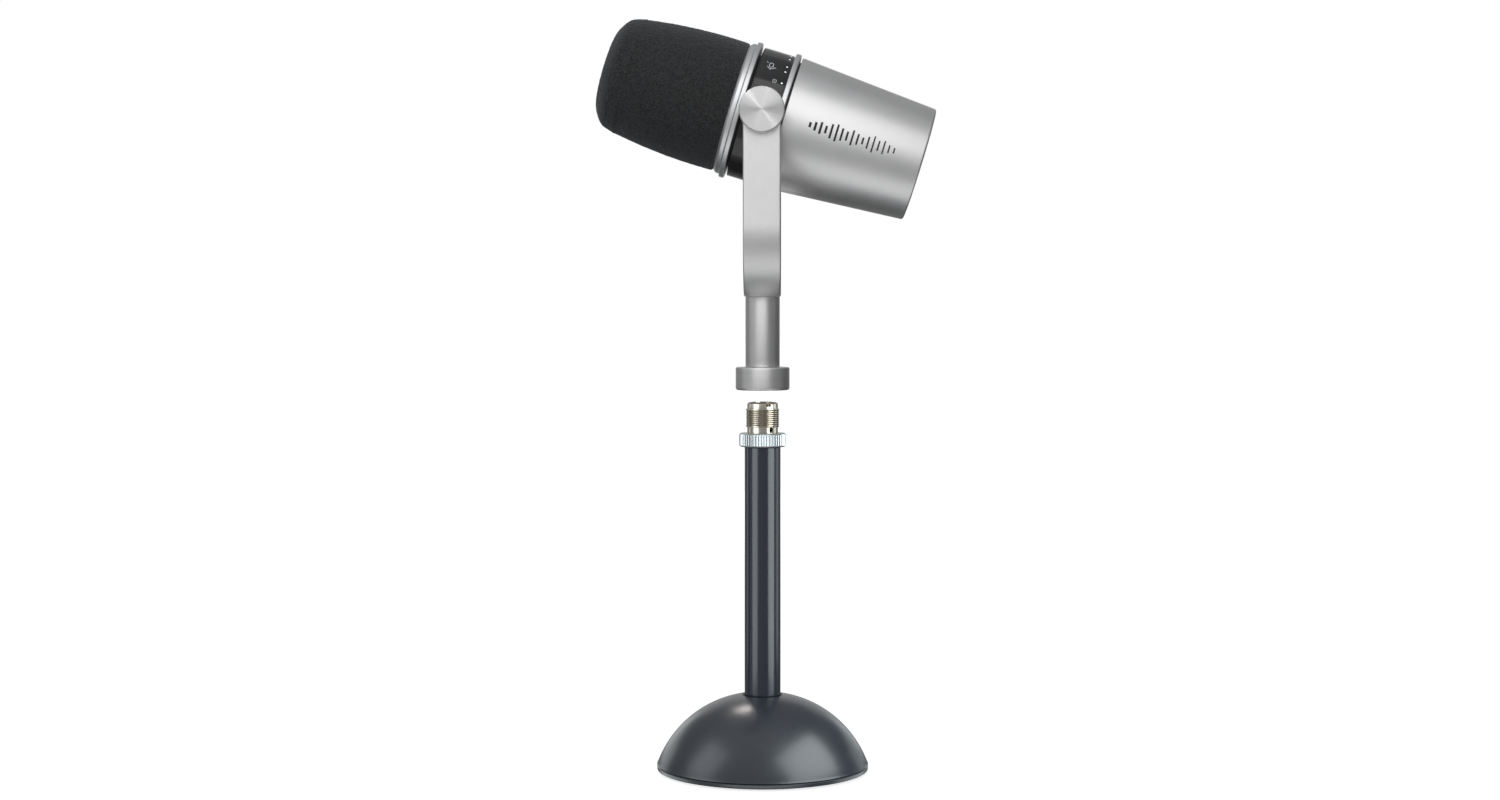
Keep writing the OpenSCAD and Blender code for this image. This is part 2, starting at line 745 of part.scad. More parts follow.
module board_components() {
  chips = [[26, -6, 9, 9, 1.2], [40, 2, 7, 7, 1.1], [38, -11, 5, 4, 2.4], [30, 7, 6, 3, 1.6],
    [52, -3, 5, 6, 3.2], [50, 8.5, 4, 4, 4]];
  color([0.07, 0.07, 0.08]) in_head() for (c = chips)
    translate([c[0], c[1], board_top + gap]) cube([c[2], c[3], c[4]]);
}

module board_screws() {
  color([0.7, 0.7, 0.72]) in_head() for (p = board_holes) translate([p.x, p.y, 0]) {
    translate([0, 0, board_top + gap]) cylinder(r = 1.8, h = 1.2);
    translate([0, 0, 3.5]) cylinder(r = 0.9, h = board_top + gap - 3.4);
  }
}

// The capsule and its rubber mount, held in a tube from the chassis's front wall
module capsule_carrier() {
  rim_a = chassis_a + 2 + gap;
  color([0.13, 0.13, 0.14]) in_head() along_x() rotate_extrude() polygon([
    [carrier_bore_r, carrier_a], [carrier_r, carrier_a], [carrier_r, rim_a],
    [chassis_bore_r - slack, rim_a], [chassis_bore_r - slack, rim_a + 1.4],
    [carrier_bore_r, rim_a + 1.4]
  ]);
}

module capsule_mount() {
  color([0.07, 0.07, 0.07]) in_head() along_x() rotate_extrude() polygon([
    [capsule_r + gap, carrier_a - 1], [carrier_bore_r - gap, carrier_a + 0.4],
    [carrier_bore_r - gap, carrier_a + 5.6], [capsule_r + gap, carrier_a + 7]
  ]);
}

module capsule_body() {
  color([0.45, 0.45, 0.47]) in_head() translate([capsule_a, 0, 0]) along_x() difference() {
    cylinder(r = capsule_r, h = capsule_l);
    translate([0, 0, -1]) cylinder(r = capsule_bore_r, h = capsule_l - 2);
  }
}

module capsule_cap() {
  color([0.3, 0.3, 0.32]) in_head() translate([capsule_a + slack, 0, 0]) along_x() difference() {
    cylinder(r = capsule_bore_r - gap, h = 1.4);
    for (t = [0:60:300]) rotate([0, 0, t]) translate([7.5, 0, -1]) cylinder(r = 1.8, h = 4);
  }
}

module diaphragm() {
  color([0.85, 0.85, 0.8]) in_head() translate([diaphragm_a, 0, 0]) along_x()
    cylinder(r = capsule_bore_r - slack, h = diaphragm_h);
}

module voice_coil() {
  color([0.72, 0.4, 0.2]) in_head() translate([diaphragm_a + diaphragm_h + gap, 0, 0]) along_x()
    sleeve(9.3, 8.7, 6);
}

module magnet() {
  color([0.35, 0.35, 0.37]) in_head() translate([magnet_a, 0, 0]) along_x() union() {
    cylinder(r = 8.4, h = 17.9);
    translate([0, 0, 4.2]) cylinder(r = capsule_bore_r - slack, h = 13.7);
  }
}

module capsule_leads() {
  from_a = capsule_a + capsule_l + gap;
  color([0.7, 0.15, 0.12]) in_head() for (side = [-1, 1])
    translate([from_a, side * 2.5, board_z + board_h / 2]) along_x()
      cylinder(r = 0.6, h = board_a - gap - from_a);
}

base_dome();
base_pad();
tube_washer();
tube_nut();
lower_plug();
stand_tube();
thread_insert();
lock_ring();
thrust_washer();
collar();
stem_post();
stem_sleeve();
yoke();
stem_screw();
stem_screw_washer();
arm_washers();
pivot_spacers();
near_knob();
near_stud();
far_knob();
far_stud();
windscreen();
grille();
front_bezel();
front_lip_ring();
chassis();
pivot_inserts();
control_band();
touch_panel();
light_pipes();
touch_board();
rear_ring();
housing();
rear_panel();
panel_screws();
tie_rods();
xlr_shell();
xlr_insert();
xlr_pins();
xlr_wires();
usb_shell();
usb_tongue();
headphone_jack();
board_tray();
main_board();
board_components();
board_screws();
capsule_carrier();
capsule_mount();
capsule_body();
capsule_cap();
diaphragm();
voice_coil();
magnet();
capsule_leads();
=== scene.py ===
import json
import math
import bmesh
import bpy
import numpy as np
from mathutils import Matrix, Vector, noise

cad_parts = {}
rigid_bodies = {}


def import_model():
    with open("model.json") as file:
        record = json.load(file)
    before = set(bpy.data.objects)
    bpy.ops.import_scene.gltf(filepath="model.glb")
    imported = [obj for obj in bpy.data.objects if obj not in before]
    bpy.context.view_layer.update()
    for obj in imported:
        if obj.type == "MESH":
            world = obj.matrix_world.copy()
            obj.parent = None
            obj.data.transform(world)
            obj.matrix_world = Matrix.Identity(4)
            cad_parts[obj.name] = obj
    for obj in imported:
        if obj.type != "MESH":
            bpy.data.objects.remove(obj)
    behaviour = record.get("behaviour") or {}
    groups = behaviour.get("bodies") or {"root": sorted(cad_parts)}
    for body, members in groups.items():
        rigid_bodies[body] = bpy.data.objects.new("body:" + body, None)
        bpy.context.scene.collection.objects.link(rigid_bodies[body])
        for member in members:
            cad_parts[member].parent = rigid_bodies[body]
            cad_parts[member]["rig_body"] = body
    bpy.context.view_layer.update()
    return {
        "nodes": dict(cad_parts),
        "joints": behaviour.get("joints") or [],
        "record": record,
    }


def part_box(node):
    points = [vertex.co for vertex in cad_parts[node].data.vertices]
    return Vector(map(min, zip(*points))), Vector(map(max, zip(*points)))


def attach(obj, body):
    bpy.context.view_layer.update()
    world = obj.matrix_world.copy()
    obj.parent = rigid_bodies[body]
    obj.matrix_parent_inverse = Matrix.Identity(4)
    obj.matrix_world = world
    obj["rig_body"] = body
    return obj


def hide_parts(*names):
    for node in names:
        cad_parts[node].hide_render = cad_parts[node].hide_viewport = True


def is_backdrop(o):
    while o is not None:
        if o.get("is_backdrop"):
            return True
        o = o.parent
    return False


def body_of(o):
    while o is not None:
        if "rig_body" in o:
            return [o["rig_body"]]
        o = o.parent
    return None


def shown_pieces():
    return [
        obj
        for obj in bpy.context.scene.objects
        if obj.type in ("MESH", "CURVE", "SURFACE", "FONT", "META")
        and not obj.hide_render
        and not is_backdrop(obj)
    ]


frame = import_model()

MM = 0.001
NODES = frame["nodes"]
JOINTS = {j["name"]: j for j in frame["joints"]}
for plain in {m for node in NODES.values() for m in node.data.materials}:
    bpy.data.materials.remove(plain)

# The microphone's own axis: +Z of AXIS runs to the rear along it, and its origin is the pivot.
pull = Vector(JOINTS["windscreen_pull"]["axis"])
pivot = Vector(JOINTS["mic_tilt"]["pos_m"])
HEAD = Matrix.Translation(pivot) @ Matrix.Rotation(math.atan2(pull.z, -pull.x), 4, "Y")
AXIS = HEAD @ Matrix.Rotation(math.pi / 2, 4, "Y")
UP = Matrix.Identity(4)
NEAR = Matrix.Translation(pivot) @ Matrix.Rotation(math.pi / 2, 4, "X")
FAR = Matrix.Translation(pivot) @ Matrix.Rotation(-math.pi / 2, 4, "X")


# ---------------------------------------------------------------- shapes

def span(node, place):
    """From, to, inner and outer radius of a CAD node about the axis of place, in mm."""
    inverse = np.array(place.inverted())
    points = np.array([v.co for v in NODES[node].data.vertices], float)
    points = (points @ inverse[:3, :3].T + inverse[:3, 3]) / MM
    radii = np.hypot(points[:, 0], points[:, 1])
    return points[:, 2].min(), points[:, 2].max(), radii.min(), radii.max()


def arc(centre, radius, start, end, steps):
    """Points (r, z) of an arc, with its angles in degrees."""
    angles = [math.radians(start + (end - start) * i / steps) for i in range(steps + 1)]
    return [(centre[0] + radius * math.cos(t), centre[1] + radius * math.sin(t)) for t in angles]


def rounded(points, steps=5):
    """A closed outline of (r, z) or (r, z, fillet) points, with the fillets put in."""
    out = []
    for i, point in enumerate(points):
        here = Vector(point[:2])
        fillet = point[2] if len(point) > 2 else 0
        to_last = Vector(points[i - 1][:2]) - here
        to_next = Vector(points[(i + 1) % len(points)][:2]) - here
        if fillet <= 0 or to_last.length < 1e-6 or to_next.length < 1e-6:
            out.append(tuple(here))
            continue
        half = to_last.angle(to_next) / 2
        reach = min(fillet / math.tan(half), to_last.length * 0.499, to_next.length * 0.499)
        fillet = reach * math.tan(half)
        a, b = here + to_last.normalized() * reach, here + to_next.normalized() * reach
        middle = here + (to_last.normalized() + to_next.normalized()).normalized() * (fillet / math.sin(half))
        u, v = a - middle, b - middle
        turn = math.pi - 2 * half
        sign = 1 if u.x * v.y - u.y * v.x > 0 else -1
        for k in range(steps + 1):
            t = sign * turn * k / steps
            out.append((middle.x + u.x * math.cos(t) - u.y * math.sin(t),
                        middle.y + u.x * math.sin(t) + u.y * math.cos(t)))
    return out


def mesh_piece(name, points, faces, place=UP, crease=32, weld=2e-4):
    """A piece from points in mm in the frame of place. Its object stays at the origin, as a CAD node's does."""
    mesh = bpy.data.meshes.new(name)
    mesh.from_pydata([(x * MM, y * MM, z * MM) for x, y, z in points], [], faces)
    built = bmesh.new()
    built.from_mesh(mesh)
    bmesh.ops.remove_doubles(built, verts=built.verts, dist=weld * MM)
    bmesh.ops.dissolve_degenerate(built, edges=built.edges, dist=weld * MM)
    bmesh.ops.recalc_face_normals(built, faces=built.faces)
    built.to_mesh(mesh)
    built.free()
    mesh.transform(place)
    piece = bpy.data.objects.new(name, mesh)
    bpy.context.scene.collection.objects.link(piece)
    shade(piece, crease)
    return piece


def shade(piece, crease):
    piece.data.shade_smooth()
    piece.data.set_sharp_from_angle(angle=math.radians(crease))


def grid_faces(rows, columns, wrap_rows, wrap_columns):
    faces = []
    for i in range(rows if wrap_rows else rows - 1):
        for j in range(columns if wrap_columns else columns - 1):
            i2, j2 = (i + 1) % rows, (j + 1) % columns
            faces.append((i * columns + j, i * columns + j2, i2 * columns + j2, i2 * columns + j))
    return faces


def lathe(name, outline, place=UP, steps=192, closed=True, shape=None, crease=32):
    """Turns an outline of (r, z) points about +Z. shape(r, z, angle) may change a point's radius."""
    points = []
    for r, z in outline:
        for j in range(steps):
            t = 2 * math.pi * j / steps
            q = shape(r, z, t) if shape else r
            points.append((q * math.cos(t), q * math.sin(t), z))
    return mesh_piece(name, points, grid_faces(len(outline), steps, closed, True), place, crease)


def carve(piece, *cutters, crease=32):
    """Cuts the cutters out of the piece, and removes them."""
    for cutter in cutters:
        cut = piece.modifiers.new("cut", "BOOLEAN")
        cut.operation, cut.solver, cut.object = "DIFFERENCE", "EXACT", cutter
    bpy.context.view_layer.update()
    evaluated = piece.evaluated_get(bpy.context.evaluated_depsgraph_get())
    mesh = bpy.data.meshes.new_from_object(evaluated)
    piece.modifiers.clear()
    piece.data = mesh
    for cutter in cutters:
        bpy.data.objects.remove(cutter)
    shade(piece, crease)
    return piece


def block(name, low, high, place=UP):
    """A box-shaped cutter, in mm."""
    points = [(x, y, z) for x in (low[0], high[0]) for y in (low[1], high[1]) for z in (low[2], high[2])]
    faces = [(0, 1, 3, 2), (4, 6, 7, 5), (0, 4, 5, 1), (2, 3, 7, 6), (0, 2, 6, 4), (1, 5, 7, 3)]
    return mesh_piece(name, points, faces, place)


def rod(name, r, low, high, place=UP, steps=96):
    """A round cutter, in mm."""
    return lathe(name, [(0, low), (r, low), (r, high), (0, high)], place, steps, closed=False)


# ---------------------------------------------------------------- materials

class Finish:
    """A node material, with helpers that add nodes and link them. Its pattern lies about the axis of about."""

    def __init__(self, name, about=None, **sockets):
        self.material = bpy.data.materials.new(name)
        self.material.use_nodes = True
        self.tree = self.material.node_tree
        self.shader = self.tree.nodes["Principled BSDF"]
        self.coord = self.add("TexCoord").outputs["Object"]
        if about is not None:
            self.coord = self.add("Mapping", {"vector_type": "TEXTURE"}, Vector=self.coord,
                                  Location=about.to_translation(), Rotation=about.to_euler()).outputs[0]
        for socket, value in sockets.items():
            self.shader.inputs[socket.replace("_", " ")].default_value = value

    def add(self, kind, settings=(), **inputs):
        node = self.tree.nodes.new("ShaderNode" + kind)
        for key, value in dict(settings).items():
            setattr(node, key, value)
        for key, value in inputs.items():
            socket = node.inputs[int(key[1:])] if key[0] == "_" else node.inputs[key.replace("_", " ")]
            if isinstance(value, bpy.types.NodeSocket):
                self.tree.links.new(value, socket)
            else:
                socket.default_value = value
        return node

    def link(self, socket, name):
        self.tree.links.new(socket, self.shader.inputs[name])

    def place(self, scale=(1, 1, 1)):
        """Object coordinates, stretched by scale."""
        if tuple(scale) == (1, 1, 1):
            return self.coord
        return self.add("Mapping", Vector=self.coord, Scale=scale).outputs[0]

    def turned(self, angular=0.0):
        """Coordinates (radius, a little of the sideways place, height) of a turned piece."""
        split = self.add("SeparateXYZ", _0=self.place())
        flat = self.add("CombineXYZ", X=split.outputs[0], Y=split.outputs[1])
        radius = self.add("VectorMath", {"operation": "LENGTH"}, _0=flat.outputs[0]).outputs["Value"]
        sideways = self.add("Math", {"operation": "MULTIPLY"}, _0=split.outputs[0], _1=angular).outputs[0]
        return self.add("CombineXYZ", X=radius, Y=sideways, Z=split.outputs[2]).outputs[0]

    def noise(self, scale, detail=3.0, rough=0.55, at=None):
        return self.add("TexNoise", Vector=at or self.place(), Scale=scale, Detail=detail,
                        Roughness=rough).outputs["Fac"]

    def ramp(self, value, low, high, from_low=0.3, from_high=0.7):
        """A number that goes from low to high as value goes over its range."""
        return self.add("MapRange", Value=value, From_Min=from_low, From_Max=from_high, To_Min=low,
                        To_Max=high).outputs[0]

    def blend(self, fac, a, b):
        mix = self.add("Mix", {"data_type": "RGBA"}, _0=fac)
        for index, colour in ((6, a), (7, b)):
            if isinstance(colour, bpy.types.NodeSocket):
                self.tree.links.new(colour, mix.inputs[index])
            else:
                mix.inputs[index].default_value = (*colour, 1)
        return mix.outputs[2]

    def bump(self, height, distance, strength=1.0, normal=None):
        node = self.add("Bump", Height=height, Distance=distance, Strength=strength)
        if normal is not None:
            self.tree.links.new(normal, node.inputs["Normal"])
        return node.outputs[0]


def tone(colour, factor):
    return tuple(min(1.0, c * factor) for c in colour)


def grained(name, colour, rough, vary=0.06, rough_vary=0.05, grain=1500, depth=0.00002, **sockets):
    """Colour and gloss that vary in soft patches, over a fine even grain."""
    f = Finish(name, **sockets)
    patches = f.noise(60, 3)
    specks = f.noise(grain, 3, 0.6)
    both = f.add("Math", {"operation": "MULTIPLY_ADD"}, _0=specks, _1=0.5,
                 _2=f.ramp(patches, 0.0, 0.5, 0.2, 0.8)).outputs[0]
    f.link(f.blend(f.ramp(both, 0, 1, 0.2, 0.8), tone(colour, 1 - vary), tone(colour, 1 + vary)), "Base Color")
    f.link(f.ramp(both, rough - rough_vary, rough + rough_vary, 0.2, 0.8), "Roughness")
    f.link(f.bump(specks, depth), "Normal")
    return f


LATHE_VARY = 0.05


def turned_metal(name, colour, rough, lines=9000, depth=0.000004, blast=0.0, anisotropy=0.0, tangent="Z",
                 **sockets):
    """Metal with fine lines left by the lathe, round its axis, and an optional blasted grain."""
    f = Finish(name, Metallic=1.0, **sockets)
    cut = f.noise(lines, 2, 0.6, at=f.turned(0.004))
    patches = f.noise(90, 3)
    shades = tone(colour, 1 - LATHE_VARY), tone(colour, 1 + LATHE_VARY)
    f.link(f.blend(f.ramp(cut, 0, 1), *shades), "Base Color")
    both = f.add("Math", {"operation": "ADD"}, _0=f.ramp(cut, -0.04, 0.04), _1=f.ramp(patches, -0.03, 0.03))
    f.link(f.add("Math", {"operation": "ADD"}, _0=both.outputs[0], _1=rough).outputs[0], "Roughness")
    normal = f.bump(cut, depth)
    if blast:
        normal = f.bump(f.noise(2600, 2, 0.6), blast, normal=normal)
    f.link(normal, "Normal")
    if anisotropy:
        f.shader.inputs["Anisotropic"].default_value = anisotropy
        f.shader.inputs["Anisotropic Rotation"].default_value = 0.25
        radial = f.add("Tangent", {"direction_type": "RADIAL", "axis": tangent})
        f.link(radial.outputs[0], "Tangent")
    return f


def foam_finish():
    """Open-cell foam: dark cells between paler struts, with a soft bloom."""
    f = Finish("foam", Sheen_Weight=0.35, Sheen_Roughness=0.45, Specular_IOR_Level=0.25)
    f.shader.inputs["Sheen Tint"].default_value = (0.75, 0.77, 0.8, 1)
    cells = f.add("TexVoronoi", {"feature": "F1"}, Vector=f.place(), Scale=1150.0).outputs["Distance"]
    clumps = f.noise(420, 4, 0.65)
    drift = f.noise(60, 2)
    pits = f.ramp(cells, 0, 1, 0.1, 0.62)
    shade_of = f.add("Math", {"operation": "MULTIPLY_ADD"}, _0=clumps, _1=0.65,
                     _2=f.ramp(pits, 0.0, 0.35, 0, 1)).outputs[0]
    base = f.blend(f.ramp(shade_of, 0, 1, 0.25, 0.75), (0.012, 0.0122, 0.0128), (0.055, 0.0556, 0.057))
    f.link(f.blend(f.ramp(drift, 0.0, 0.25), base, (0.05, 0.05, 0.052)), "Base Color")
    f.link(f.ramp(clumps, 0.85, 1.0), "Roughness")
    fine = f.bump(pits, 0.00025, 0.9)
    f.link(f.bump(clumps, 0.0003, 0.8, normal=fine), "Normal")
    return f


def gloss_finish(name, colour, rough):
    """Moulded gloss plastic under a clear coat, with faint haze and dust."""
    f = Finish(name, Coat_Weight=0.6, Coat_Roughness=0.06, IOR=1.5)
    haze = f.noise(35, 4)
    dust = f.noise(2400, 2)
    f.link(f.blend(f.ramp(haze, 0, 1), tone(colour, 0.85), tone(colour, 1.15)), "Base Color")
    f.link(f.ramp(haze, rough - 0.03, rough + 0.05), "Roughness")
    f.link(f.bump(dust, 0.000004, 0.4), "Normal")
    return f


def board_finish():
    """Green solder mask, with copper tracks just under it."""
    f = Finish("circuit_board", Coat_Weight=0.3, Coat_Roughness=0.2)
    tracks = f.add("TexBrick", Vector=f.place((400, 400, 400)), Scale=1.0, Color1=(0, 0, 0, 1),
                   Color2=(0, 0, 0, 1), Mortar=(1, 1, 1, 1), Mortar_Size=0.06).outputs["Color"]
    f.link(f.blend(tracks, (0.008, 0.07, 0.028), (0.02, 0.14, 0.05)), "Base Color")
    f.link(f.ramp(f.noise(800), 0.35, 0.5), "Roughness")
    f.link(f.bump(tracks, 0.00003, 0.6), "Normal")
    return f


SILVER = (0.87, 0.865, 0.86)
FINISHES = {
    "cast_base": grained("cast_base", (0.025, 0.03, 0.038), 0.3, grain=1900, depth=0.000012, IOR=1.6,
                         Coat_Weight=0.25, Coat_Roughness=0.2),
    "base_rubber": grained("base_rubber", (0.02, 0.02, 0.021), 0.75, grain=900, depth=0.00005),
    "fastener_steel": grained("fastener_steel", (0.6, 0.6, 0.61), 0.3, Metallic=1.0, depth=0.000006),
    "plug_steel": grained("plug_steel", (0.5, 0.5, 0.51), 0.4, Metallic=1.0, depth=0.00001),
    "tube_paint": grained("tube_paint", (0.018, 0.022, 0.03), 0.2, grain=1700, depth=0.000006, IOR=1.55,
                          Coat_Weight=0.3, Coat_Roughness=0.1),
    "nickel_thread": turned_metal("nickel_thread", (0.72, 0.67, 0.57), 0.22, lines=3000, depth=0.000002),
    "bright_ring": grained("bright_ring", (0.66, 0.69, 0.7), 0.2, Metallic=1.0, depth=0.000004),
    "slip_washer": grained("slip_washer", (0.75, 0.75, 0.72), 0.45, grain=900),
    "satin_collar": turned_metal("satin_collar", SILVER, 0.38, lines=4200, depth=0.000012,
                                 blast=0.000008),
    "post_metal": turned_metal("post_metal", (0.6, 0.6, 0.61), 0.35),
    "yoke_metal": grained("yoke_metal", SILVER, 0.44, Metallic=1.0, grain=2300, depth=0.00003, vary=0.05),
    "knob_metal": turned_metal("knob_metal", SILVER, 0.34, lines=5200, depth=0.000003, anisotropy=1.0,
                               tangent="Y", about=NEAR),
    "friction_pad": grained("friction_pad", (0.025, 0.025, 0.026), 0.7, grain=1200, depth=0.00004),
    "foam": foam_finish(),
    "black_steel": grained("black_steel", (0.03, 0.03, 0.032), 0.4, grain=1500, Metallic=0.6),
    "bright_trim": turned_metal("bright_trim", (0.84, 0.845, 0.85), 0.4, lines=6000, depth=0.000003,
                                blast=0.000006, about=AXIS),
    "cast_core": grained("cast_core", (0.035, 0.035, 0.037), 0.5, grain=1300, depth=0.00004),
    "insert_brass": turned_metal("insert_brass", (0.75, 0.58, 0.3), 0.32, about=NEAR),
    "gloss_black": gloss_finish("gloss_black", (0.006, 0.006, 0.007), 0.14),
    "light_plastic": grained("light_plastic", (0.85, 0.87, 0.88), 0.35, Emission_Strength=0.9,
                             Emission_Color=(0.9, 0.95, 1, 1)),
    "circuit_board": board_finish(),
    "silver_shell": grained("silver_shell", SILVER, 0.4, Metallic=1.0, grain=2600, depth=0.000016, vary=0.035,
                            rough_vary=0.03),
    "black_plastic": grained("black_plastic", (0.02, 0.02, 0.021), 0.45, grain=1100, depth=0.00003),
    "gold_contact": grained("gold_contact", (0.9, 0.68, 0.32), 0.25, Metallic=1.0, depth=0.000004),
    "port_steel": grained("port_steel", (0.65, 0.65, 0.67), 0.28, Metallic=1.0, depth=0.000004),
    "wire_sleeve": grained("wire_sleeve", (0.42, 0.05, 0.035), 0.4, grain=900),
    "mount_rubber": grained("mount_rubber", (0.018, 0.018, 0.019), 0.8, grain=800, depth=0.00005),
    "capsule_metal": turned_metal("capsule_metal", (0.5, 0.5, 0.52), 0.36, about=AXIS),
    "film": grained("film", (0.6, 0.58, 0.5), 0.25, Metallic=0.4, depth=0.00001),
    "coil_copper": turned_metal("coil_copper", (0.72, 0.33, 0.16), 0.35, lines=3000, depth=0.00003, about=AXIS),
    "magnet_iron": grained("magnet_iron", (0.2, 0.2, 0.21), 0.45, Metallic=0.9),
}
SLOT_OF = {part["node"]: part["material_slot"] for part in frame["record"]["subparts"]}


def finished(piece, slot, body, *replaced):
    """Gives a piece its material, its body and the CAD nodes that it stands for."""
    piece.data.materials.clear()
    piece.data.materials.append(FINISHES[slot].material)
    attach(piece, body)
    if replaced:
        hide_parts(*replaced)
    return piece


# ---------------------------------------------------------------- stand

dome_low, dome_top, _, dome_r = span("base_dome", UP)
tube_low, tube_top, tube_bore, tube_r = span("stand_tube", UP)
pad_low, pad_top, _, pad_r = span("base_pad", UP)
CROWN_R = 62.0
CROWN_HALF = 12     # degrees from the dome's axis to where its crown meets the shoulder
RIM_Z = 2.9
DOME_WALL = 7.5
FIT = 0.05


def dome_section(wall):
    """The dome's outline from its rim to its middle: a tight shoulder that runs into a flatter crown."""
    half = math.radians(CROWN_HALF)
    toward = Vector((math.sin(half), math.cos(half)))
    centre = Vector((0, dome_top_full - CROWN_R))
    reach = Vector((dome_r, RIM_Z)) - centre
    shoulder_r = CROWN_R - (reach.length_squared - CROWN_R ** 2) / (2 * (reach.dot(toward) - CROWN_R))
    shoulder = centre + toward * (CROWN_R - shoulder_r)
    rim = math.degrees(math.atan2(RIM_Z - shoulder.y, dome_r - shoulder.x))
    return (arc(shoulder, shoulder_r - wall, rim, 90 - CROWN_HALF, 60)
            + arc(centre, CROWN_R - wall, 90 - CROWN_HALF, 90, 24)[1:])


# The hole for the tube takes the very top of the crown away, so its height comes from the countersink's edge.
rim_points = np.array([v.co for v in NODES["base_dome"].data.vertices], float) / MM
top_edge_r = np.hypot(*rim_points[rim_points[:, 2] > dome_top - 0.05][:, :2].T).max()
dome_top_full = dome_top + CROWN_R - math.sqrt(CROWN_R ** 2 - top_edge_r ** 2)
outer = [p for p in dome_section(0) if p[0] > top_edge_r + 0.4]
inner = [p for p in reversed(dome_section(DOME_WALL)) if 13.6 < p[0] < pad_r - 0.6]
dome_outline = rounded(
    [(dome_r - 0.15, dome_low, 0.3), (dome_r - 0.02, 2.6, 0.15), (dome_r - 0.6, 2.95), (dome_r - 0.05, 3.3)]
    + outer[1:]
    + [(top_edge_r, dome_top, 0.5), (tube_r + 0.1, dome_top - 2.2, 0.2), (tube_r + 0.1, tube_low - FIT),
       (5.1, tube_low - FIT), (5.1, 14), (13, 14)]
    + inner + [(pad_r - 0.5, pad_top + FIT), (pad_r + 0.1, pad_top + FIT), (pad_r + 0.1, dome_low, 0.1)], 4)
finished(lathe("domed_base", dome_outline, UP, 256), "cast_base", "stand", "base_dome")

pad_outline = rounded([(0, pad_low), (pad_r, pad_low, 0.6), (pad_r, pad_top, 0.3), (0, pad_top)])
finished(lathe("foot_pad", pad_outline, UP, 192, closed=False), "base_rubber", "stand", "base_pad")

tube_outline = rounded([(tube_bore, tube_low, 0.2), (tube_r, tube_low, 0.3), (tube_r, tube_top, 0.45),
                        (tube_bore, tube_top, 0.3)])
finished(lathe("upright_tube", tube_outline, UP, 192), "tube_paint", "stand", "stand_tube")

ring_low, ring_top, ring_bore, ring_r = span("lock_ring", UP)
FLUTES = 50


def fluted(r, z, t):
    """Round-topped ridges with narrow valleys, fading out over the chamfers."""
    if r < ring_r - 0.9:
        return r
    wave = abs(math.sin(FLUTES * t / 2)) ** 0.9
    return min(r, ring_r - 0.5 * (1 - wave))


ring_outline = rounded([(ring_bore, ring_low, 0.2), (ring_r - 0.75, ring_low, 0.15),
                        (ring_r, ring_low + 0.7, 0.25), (ring_r, ring_top - 0.7, 0.25),
                        (ring_r - 0.75, ring_top, 0.15), (ring_bore, ring_top, 0.2)], 4)
finished(lathe("knurled_lock_ring", ring_outline, UP, FLUTES * 12, shape=fluted, crease=50),
         "bright_ring", "lock_ring", "lock_ring")

# The thread insert: a plug in the tube, an eased lower thread under the ring, a neck and the thread.
insert_low, insert_top, insert_bore, insert_r = span("thread_insert", UP)
PITCH = 0.94
THREAD_DEPTH = 0.55
thread_turns = 9
lower_r = insert_r - 0.2
plain_z = insert_top - 3.2
thread_z = plain_z - thread_turns * PITCH
neck_z = thread_z - 2.8
neck_r = insert_r - 0.65


def threaded(r, z, t):
    """A V groove that winds round, between flat crests."""
    for bottom, top, crest in ((thread_z, plain_z, insert_r), (tube_top + 0.3, neck_z - 0.5, lower_r)):
        if bottom <= z <= top and r > neck_r - 0.1:
            phase = ((z - bottom) / PITCH - t / (2 * math.pi)) % 1.0
            groove = max(0.0, 1 - abs(phase - 0.5) / 0.37)
            ends = min(1.0, (z - bottom) / 0.5, (top - z) / 0.5)
            return crest - THREAD_DEPTH * groove * max(0.0, ends)
    return r


def steps_between(r, low, high, step):
    count = max(2, int((high - low) / step))
    return [(r, low + (high - low) * i / count) for i in range(count + 1)]


insert_outline = ([(insert_bore, insert_low), (tube_bore - FIT, insert_low),
                   (tube_bore - FIT, tube_top + FIT), (lower_r, tube_top + FIT)]
                  + steps_between(lower_r, tube_top + 0.3, neck_z - 0.5, 0.1)
                  + [(insert_r - 0.3, neck_z - 0.3), (neck_r, neck_z), (neck_r, thread_z - 0.15),
                     (neck_r + 0.2, thread_z - 0.02)]
                  + steps_between(insert_r, thread_z, plain_z, 0.085)
                  + [(neck_r + 0.2, plain_z + 0.04), (neck_r, plain_z + 0.2), (neck_r, insert_top - 0.85),
                     (neck_r - 0.18, insert_top - 0.55), (neck_r - 0.75, insert_top - 0.06),
                     (neck_r - 0.95, insert_top), (insert_bore + 0.25, insert_top),
                     (insert_bore, insert_top - 0.25)])
thread = lathe("threaded_insert", insert_outline, UP, 240, shape=threaded, crease=38)
window = block("window", (0, -0.95, neck_z + 0.2), (insert_r + 1, 0.95, thread_z - 0.1),
               Matrix.Rotation(math.radians(-56), 4, "Z"))
slot = block("slot", (-insert_r - 1, -1.3, insert_top - 2), (insert_r + 1, 1.3, insert_top + 1),
             Matrix.Rotation(math.radians(-67), 4, "Z"))
carve(thread, window, slot, crease=38)

